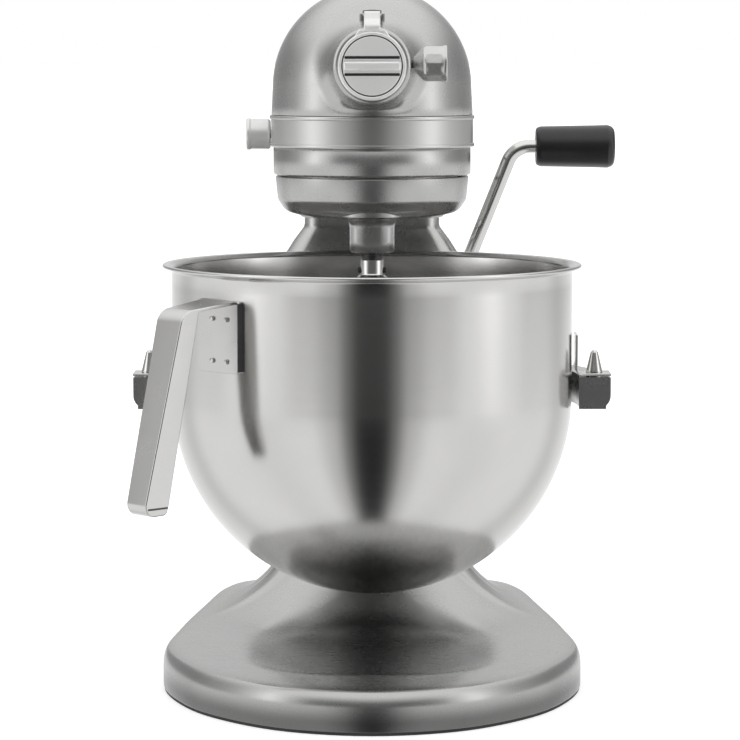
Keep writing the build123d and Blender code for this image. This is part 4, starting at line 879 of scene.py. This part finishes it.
# ---- planetary and beater
def cup_piece():
    """Turning cup with a squared neck that carries the beater shaft."""
    top, low, neck_low = CUP_HIGH[2], 285.4, CUP_LOW[2]
    side = rounded([(43.0, low), (51.0, 287.6), (55.7, 294.5), (57.0, top), (53.2, top)], [0, 7.0, 4.0, 0.5, 0], 6)
    inside = [(53.2, low + 11.1), (12.0, low + 11.1), (8.5, 300.0), (8.5, top - 0.2), (0, top - 0.2)]
    profile = [(0, low), (30.0, low)] + side + inside
    cup = lathe("planet_cup", profile, "Z", steps=120, sharp=40.0)
    rings = [neck_ring(*at) for at in ((11.6, neck_low, 3.2), (12.6, neck_low + 0.4, 3.2),
                                       (13.0, neck_low + 1.6, 3.4), (13.0, 272.0, 3.4))]
    steps = 8
    for i in range(steps + 1):
        t = i / steps * math.pi / 2
        rings.append(neck_ring(13.0 + 5.5 * (1 - math.cos(t)), 279.6 + 6.4 * math.sin(t), 3.4 - 1.0 * (i / steps)))
    rings.append(neck_ring(18.5, 290.0, 2.4))
    neck = stack("neck", rings, sharp=50.0)
    cup = carve(cup, [neck], "UNION", 45.0)
    hole = lathe("hole", [(0, 255), (7.0, 255), (7.0, 296.0), (0, 296.0)], "Z", (0, BEATER_Y, 0), 48)
    return carve(cup, [hole], sharp=45.0)


def neck_ring(half, z, power):
    """Square ring with full corners; a lower power makes it rounder."""
    ring = []
    columns = 64
    for i in range(columns):
        a = 2 * math.pi * i / columns
        c, s = math.cos(a), math.sin(a)
        k = (abs(c) ** power + abs(s) ** power) ** (-1 / power)
        ring.append((half * k * c, BEATER_Y + half * k * s, z))
    return ring


BEATER_REACH = [(16.0, 79.0), (42.0, 99.0), (62.5, 137.0), (69.3, 185.0), (62.0, 221.0), (38.0, 235.5),
                (11.0, 243.0)]


def bar_section(_):
    return round_section(3.2, 2.8, 2.0)


def beater_piece():
    """Flat beater: a rounded loop with two cross bars and an upright."""
    loop = smooth_loop([(0, 76.5)] + BEATER_REACH + [(-x, z) for x, z in reversed(BEATER_REACH)], 10)
    parts = [sweep("loop", [(x, BEATER_Y, z) for x, z in loop], lambda i: round_section(3.9, 4.4, 2.6, 4),
                   closed=True)]
    for z, reach in ((196.0, 69.0), (150.0, 65.0)):
        path = [(-reach, BEATER_Y, z), (0, BEATER_Y, z + 0.01), (reach, BEATER_Y, z)]
        parts.append(sweep("bar", path, bar_section))
    parts.append(sweep("bar", [(0, BEATER_Y, 77.0), (0.01, BEATER_Y, 150.0), (0, BEATER_Y, 236.0)], bar_section))
    return join("beater_frame", parts, 45.0)


def beater_socket():
    """Polished sleeve that slides on the beater shaft."""
    profile = rounded([(4.6, 261.1), (6.2, 261.1), (6.75, 260.4), (6.75, 252.4), (8.6, 250.6), (11.2, 249.2),
                       (11.35, 247.0), (10.8, 242.0), (7.0, 232.0), (0, 231.0), (0, 238.0), (4.6, 238.0),
                       (4.6, 261.1)],
                      [0, 0.3, 0.3, 1.5, 1.5, 0.8, 0.8, 2.0, 2.0, 0, 0, 0, 0], 4)
    return lathe("beater_sleeve", profile, "Z", (0, BEATER_Y, 0), 72, 40.0)


# ---- bowl
def bowl_profile(radius, bottom):
    """Half section from the bowl's middle out and up its side, without the lip."""
    depth = BOWL_CENTRE_Z - bottom
    flat = math.sqrt(radius ** 2 - depth ** 2)
    start = math.degrees(math.atan2(-depth, flat))
    side = [(radius, BOWL_CENTRE_Z + s) for s in (15, 35, 55)]
    return [(0, bottom)] + arc(0, BOWL_CENTRE_Z, radius, start, 0, 56) + side


def bowl_piece():
    """Spun bowl with a flared, rolled lip."""
    outer = bowl_profile(BOWL_RADIUS, BOWL_LOW[2])
    inner = bowl_profile(BOWL_RADIUS - BOWL_WALL, BOWL_LOW[2] + BOWL_WALL)
    rim_z, r = BOWL_HIGH[2] + 2.0, BOWL_RADIUS
    lip = rounded([(r, 244.0), (r, rim_z - 3.6), (r + 3.2, rim_z - 2.3), (LIP_RADIUS, rim_z - 2.1),
                   (LIP_RADIUS, rim_z), (r + 2.2, rim_z - 0.2), (r - BOWL_WALL, rim_z - 2.6),
                   (r - BOWL_WALL, 244.0)],
                  [0, 1.2, 0.8, 1.0, 1.0, 1.6, 2.0, 0], 5)
    profile = outer + lip + list(reversed(inner))
    return lathe("mixing_bowl", profile, "Z", steps=192, sharp=60.0)


HANDLE_AZIMUTH = math.radians(223.0)
STRAP_START, STRAP_Z = 118.4, 240.8
WEB_TOP, BEND_Z = 154.6, 236.4
WEB_LOW, WEB_LOW_Z = 182.2, 122.0
CHANNEL_BACK = 136.0
HANDLE_SHEET = 1.8
PLATE_THICK = 2.6
PLATE_HALF, PLATE_TOP, PLATE_LOW = 17.6, 240.8, 199.4


def from_bowl(distance, across, z):
    """Point at a distance from the bowl axis in the handle's own direction."""
    c, s = math.cos(HANDLE_AZIMUTH), math.sin(HANDLE_AZIMUTH)
    return (distance * c - across * s, distance * s + across * c, z)


def bowl_strip(name, side_points, halves):
    """Solid between two copies of a (distance, z) outline, each at its own half width."""
    return stack(name, [[from_bowl(d, a, z) for d, z in side_points] for a in halves])


def handle_half(d, z):
    """Half width of the handle: wide at the bowl, narrow at the bend, narrower still at the bottom."""
    on_strap = smooth_step((z - 228.0) / 8.0)
    strap = 15.0 - 4.0 * min(max((d - STRAP_START) / 30.0, 0.0), 1.0)
    web = 11.0 - 2.6 * (BEND_Z - z) / (BEND_Z - WEB_LOW_Z)
    return web + (strap - web) * on_strap


def strap_top(d):
    """Height of the strap's top face."""
    return STRAP_Z - (STRAP_Z - BEND_Z) * (d - STRAP_START) / (WEB_TOP - STRAP_START)


def handle_side():
    """Side outline of the bent handle in (distance, z), without points that lie too close together."""
    corners = [(STRAP_START, STRAP_Z), (WEB_TOP, BEND_Z), (WEB_LOW, WEB_LOW_Z), (WEB_LOW - 17.0, WEB_LOW_Z + 0.6),
               (WEB_LOW - 18.6, WEB_LOW_Z + 6.0), (143.6, strap_top(143.6) - HANDLE_SHEET),
               (STRAP_START, STRAP_Z - HANDLE_SHEET)]
    outline = []
    for point in rounded(corners, [0, 9.0, 6.5, 2.5, 0, 0, 0], 10, True):
        if not outline or math.dist(point, outline[-1]) > 0.1:
            outline.append(point)
    return outline


def handle_piece():
    """Bent sheet handle: strap from the bowl that turns down into a deep channel."""
    outline = handle_side()
    count = len(outline)
    steps = ((0.0, 1.0), (0.12, 0.55), (0.45, 0.15), (1.0, 0.0))
    rings = []
    for side, out, inset in [(-1, *s) for s in steps] + [(1, *s) for s in reversed(steps)]:
        ring = []
        for i, (d, z) in enumerate(outline):
            (d0, z0), (d1, z1) = outline[i - 1], outline[(i + 1) % count]
            size = math.hypot(d1 - d0, z1 - z0)
            nd, nz = (z1 - z0) / size, -(d1 - d0) / size
            soft = 0.8 if z < 234.0 else 0.45
            half = handle_half(d, z) - out * soft
            ring.append(from_bowl(d + nd * inset * soft, side * half, z + nz * inset * soft))
        rings.append(ring)
    body = stack("handle_body", rings, sharp=50.0)
    slope = (WEB_LOW - WEB_TOP) / (BEND_Z - WEB_LOW_Z)
    top = strap_top(150.0) - HANDLE_SHEET - 0.2
    low = WEB_LOW_Z + HANDLE_SHEET
    hollow_side = rounded([(CHANNEL_BACK, strap_top(CHANNEL_BACK) - HANDLE_SHEET - 0.2),
                           (WEB_TOP + slope * (BEND_Z - top) - HANDLE_SHEET, top),
                           (WEB_TOP + slope * (BEND_Z - low) - HANDLE_SHEET, low), (CHANNEL_BACK, low)],
                          [0, 7.2, 4.6, 0], 8, True)
    hollow = stack("hollow", [[from_bowl(d, side * (handle_half(d, min(z, 227.0)) - HANDLE_SHEET), z)
                               for d, z in hollow_side] for side in (-1, 1)])
    body = carve(body, [hollow], sharp=50.0)
    obj = join("bowl_handle_channel", [body, handle_plate(), *weld_spots()], 50.0)
    even = obj.modifiers.new("even_shading", "WEIGHTED_NORMAL")
    even.keep_sharp = True
    return obj


def handle_shade_strips():
    """Painted shade: dark strips where the channel's sides stop above its curled end, and on the plate's shaded
    side edge.
    """
    front, low, high = WEB_LOW - 3.4, 126.2, 127.3
    corners = [(164.6, low), (front, low), (front, high), (164.4, high)]
    half = handle_half(WEB_LOW, 126.8)
    shade_strips = [bowl_strip("shade_strip", corners, (side * (half - 1.0), side * (half + 0.12))) for side in (-1, 1)]
    # Dark strip standing in for the shaded side edge of the plate.
    inner_r, outer_r, low, high = BOWL_RADIUS - 1.6, BOWL_RADIUS + 1.8, 200.6, 239.4
    edge = [(inner_r, low), (outer_r, low), (outer_r, high), (inner_r, high)]
    shade_strips.append(bowl_strip("gap", edge, (17.3, 17.9)))
    return join("bowl_handle_painted_shade", shade_strips)


def handle_plate():
    """Curved plate that the strap is welded to, with rounded lower corners."""
    half, top, low, corner = PLATE_HALF, PLATE_TOP, PLATE_LOW, 2.5
    zc = (top + low) / 2
    outline = rounded([(-half, top), (half, top), (half, low), (-half, low)], [1.0, 1.0, corner, corner], 5, True)
    inner_r, outer_r = BOWL_RADIUS + 0.05, BOWL_RADIUS + PLATE_THICK
    rings = []
    for radius, inset in ((inner_r, 0.0), (outer_r - 0.5, 0.0), (outer_r, 0.5)):
        rings.append([on_bowl(radius, a * (1 - inset / half), zc + (z - zc) * (1 - inset / (top - zc)))
                      for a, z in outline])
    return stack("plate", rings, sharp=50.0)


def on_bowl(radius, across, z):
    """Point on a round wall, across counted along the bowl's side from the middle of the handle."""
    angle = across / BOWL_RADIUS
    return from_bowl(radius * math.cos(angle), radius * math.sin(angle), z)


def weld_spots():
    """Four small dimples of the spot welds."""
    spots = []
    for a in (-4.7, 7.7):
        for z in (206.0, 230.0):
            c = on_bowl(BOWL_RADIUS + PLATE_THICK, a, z)
            out = unit([c[0], c[1], 0])
            across = [-out[1], out[0], 0]
            rings = []
            for radius, rise in ((1.5, -0.2), (1.4, 0.15), (0.9, 0.3), (0.3, 0.33)):
                ring = []
                for i in range(16):
                    u, v = radius * math.cos(i * math.pi / 8), radius * math.sin(i * math.pi / 8)
                    ring.append(tuple(p + out[k] * rise + across[k] * u + (v if k == 2 else 0)
                                      for k, p in enumerate(c)))
                rings.append(ring)
            spots.append(stack("spot", rings))
    return spots


def bracket_piece(side, name):
    """Bent sheet welded to the bowl, with a foot that sits over the locating pin."""
    path = rounded([(121.0, 214.6), (121.0, 191.0), (141.4, 191.0)], [0, 3.4, 0], 8)
    path = [(side * x, 0, z) for x, z in path]
    count = len(path)

    def section(i):
        return round_section(13.0 - 2.0 * i / count, 0.6, 0.35)

    sheet = sweep(name, path, section)
    hole = lathe("hole", [(0, 180), (5.1, 180), (5.1, 200), (0, 200)], "Z", (side * 132.0, 0, 0), 40)
    return carve(sheet, [hole], sharp=45.0)


# ---- assembly
def make_pieces():
    # The base wears the paint with painted shade.
    place_piece(base_piece(), "stand", "silver_paint", "base_casting", material=MATERIALS["base_shaded_paint"])
    place_piece(gasket_piece(), "stand", "foot_rubber")
    place_piece(column_piece(), "stand", "silver_paint", "column_casting")
    place_piece(housing_piece(), "stand", "silver_paint", "head_upper_housing")
    place_piece(band_piece(), "stand", "band_silver", "trim_band")
    # Dark strip of painted shade behind the speed slot.
    place_piece(speed_slot_shade_strip(), "stand", "black_plastic")
    place_piece(gearcase_piece(), "stand", "silver_paint", "lower_gearcase")
    place_piece(tail_piece(), "stand", "silver_paint", "rear_end_cover")
    place_piece(hub_cover_piece(), "hub_cover", "knob_chrome", "hub_cover")
    # Dark strips of painted shade in the cover's grooves.
    place_piece(groove_shade_fills(), "hub_cover", "black_plastic")
    place_piece(hub_knob_piece(), "thumb_knob", "knob_chrome", "hub_knob", material=MATERIALS["knob_satin"])
    place_piece(speed_knob_piece(), "speed_lever", "knob_chrome", "speed_knob")
    place_piece(grip_piece(), "lift_lever", "black_grip", "lever_grip")
    place_piece(cup_piece(), "planetary", "silver_paint", "planetary_cup")
    place_piece(beater_piece(), "beater", "beater_steel", "flat_beater")
    place_piece(beater_socket(), "beater", "polished_steel")
    place_piece(bowl_piece(), "bowl_support", "bowl_steel", "bowl_shell")
    place_piece(handle_piece(), "bowl_support", "bowl_steel", "bowl_handle", material=MATERIALS["satin_steel"])
    # Strips of painted shade on the handle.
    place_piece(handle_shade_strips(), "bowl_support", "dark_steel")
    right = bracket_piece(1, "bowl_bracket_right")
    left = bracket_piece(-1, "bowl_bracket_left")
    place_piece(right, "bowl_support", "polished_steel", "bowl_side_brackets")
    place_piece(left, "bowl_support", "polished_steel")


# ---- studio
def floor():
    """Pale floor, lifted to the backdrop's white; mirrors see the studio instead of it."""
    half, z = 60000.0, -0.1
    verts = [(-half, -half, z), (half, -half, z), (half, half, z), (-half, half, z)]
    obj = new_object("studio_floor", verts, [(0, 1, 2, 3)])
    material = surface("floor_paint", (0.80, 0.80, 0.80), 0.0, 0.9, vary=0.004, bump=0.0, specular=0.0)
    shader = material.node_tree.nodes["Principled BSDF"]
    shader.inputs["Emission Color"].default_value = (1, 1, 1, 1)
    shader.inputs["Emission Strength"].default_value = 0.5
    obj.data.materials.append(material)
    obj.visible_glossy = False


HEAD_LIGHT = [(0.0, 0.06), (0.15, 0.065), (0.23, 0.13), (0.32, 0.55), (0.40, 0.95), (0.47, 0.50), (0.55, 0.22),
              (0.70, 0.15), (0.85, 0.18), (1.0, 0.38)]
BOWL_LIGHT = [(0.0, 0.010), (0.045, 0.012), (0.075, 0.10), (0.12, 0.34), (0.20, 0.50), (0.35, 0.46), (0.50, 0.50),
              (0.64, 0.50), (0.74, 0.38), (0.84, 0.46), (1.0, 0.56)]
SKY_GREY = (0.60, 0.60, 0.60, 1.0)
GROUND_GREY = (0.16, 0.16, 0.16, 1.0)
LEVEL_FADE, SKY_FADE, GROUND_FADE = (-0.085, -0.02), (0.25, 0.8), (-0.998, -0.93)


def studio_world():
    """Soft boxes at both sides, a dark gap behind the camera and a bright surround; the backdrop is plain.

    Both ramps go round from straight in front (0) to straight behind (1); the first is for rays that leave
    level or upwards, the second for rays that leave downwards.
    """
    world = bpy.data.worlds.new("studio")
    bpy.context.scene.world = world
    world.use_nodes = True
    tree = world.node_tree
    tree.nodes.clear()
    direction = add(tree, "ShaderNodeTexCoord").outputs["Generated"]
    across, along, up = axes_of(tree, direction)
    turn = calc(tree, "ARCTAN2", calc(tree, "ABSOLUTE", across), calc(tree, "MULTIPLY", along, -1.0))
    share = calc(tree, "DIVIDE", turn, math.pi)
    upper, lower = [ramp(tree, share, [(at, (v, v, v)) for at, v in stops], "EASE")
                    for stops in (HEAD_LIGHT, BOWL_LIGHT)]
    sides = mix_colours(tree, soft_switch(tree, up, *LEVEL_FADE), lower, upper)
    sky = mix_colours(tree, soft_switch(tree, up, *SKY_FADE), sides, SKY_GREY)
    ground = mix_colours(tree, soft_switch(tree, up, *GROUND_FADE), GROUND_GREY, sky)
    light = add(tree, "ShaderNodeBackground", {"Color": ground, "Strength": 2.0})
    plain = add(tree, "ShaderNodeBackground", {"Color": (1, 1, 1, 1), "Strength": 1.0})
    seen = add(tree, "ShaderNodeLightPath").outputs["Is Camera Ray"]
    both = add(tree, "ShaderNodeMixShader", {0: seen, 1: light.outputs[0], 2: plain.outputs[0]})
    add(tree, "ShaderNodeOutputWorld", {"Surface": both.outputs[0]})


def camera():
    data = bpy.data.cameras.new("camera")
    data.sensor_width = 36.0
    data.lens = 161.2
    data.clip_end = 400.0
    obj = add_object("camera", data)
    obj.location = (-0.0012, -1.9599, 0.3855)
    obj.rotation_euler = (math.radians(90 - 5.615), 0, 0)
    bpy.context.scene.camera = obj


camera()
studio_world()
bpy.context.scene.view_settings.view_transform = "Standard"
make_pieces()
dress_cad_nodes()
floor()
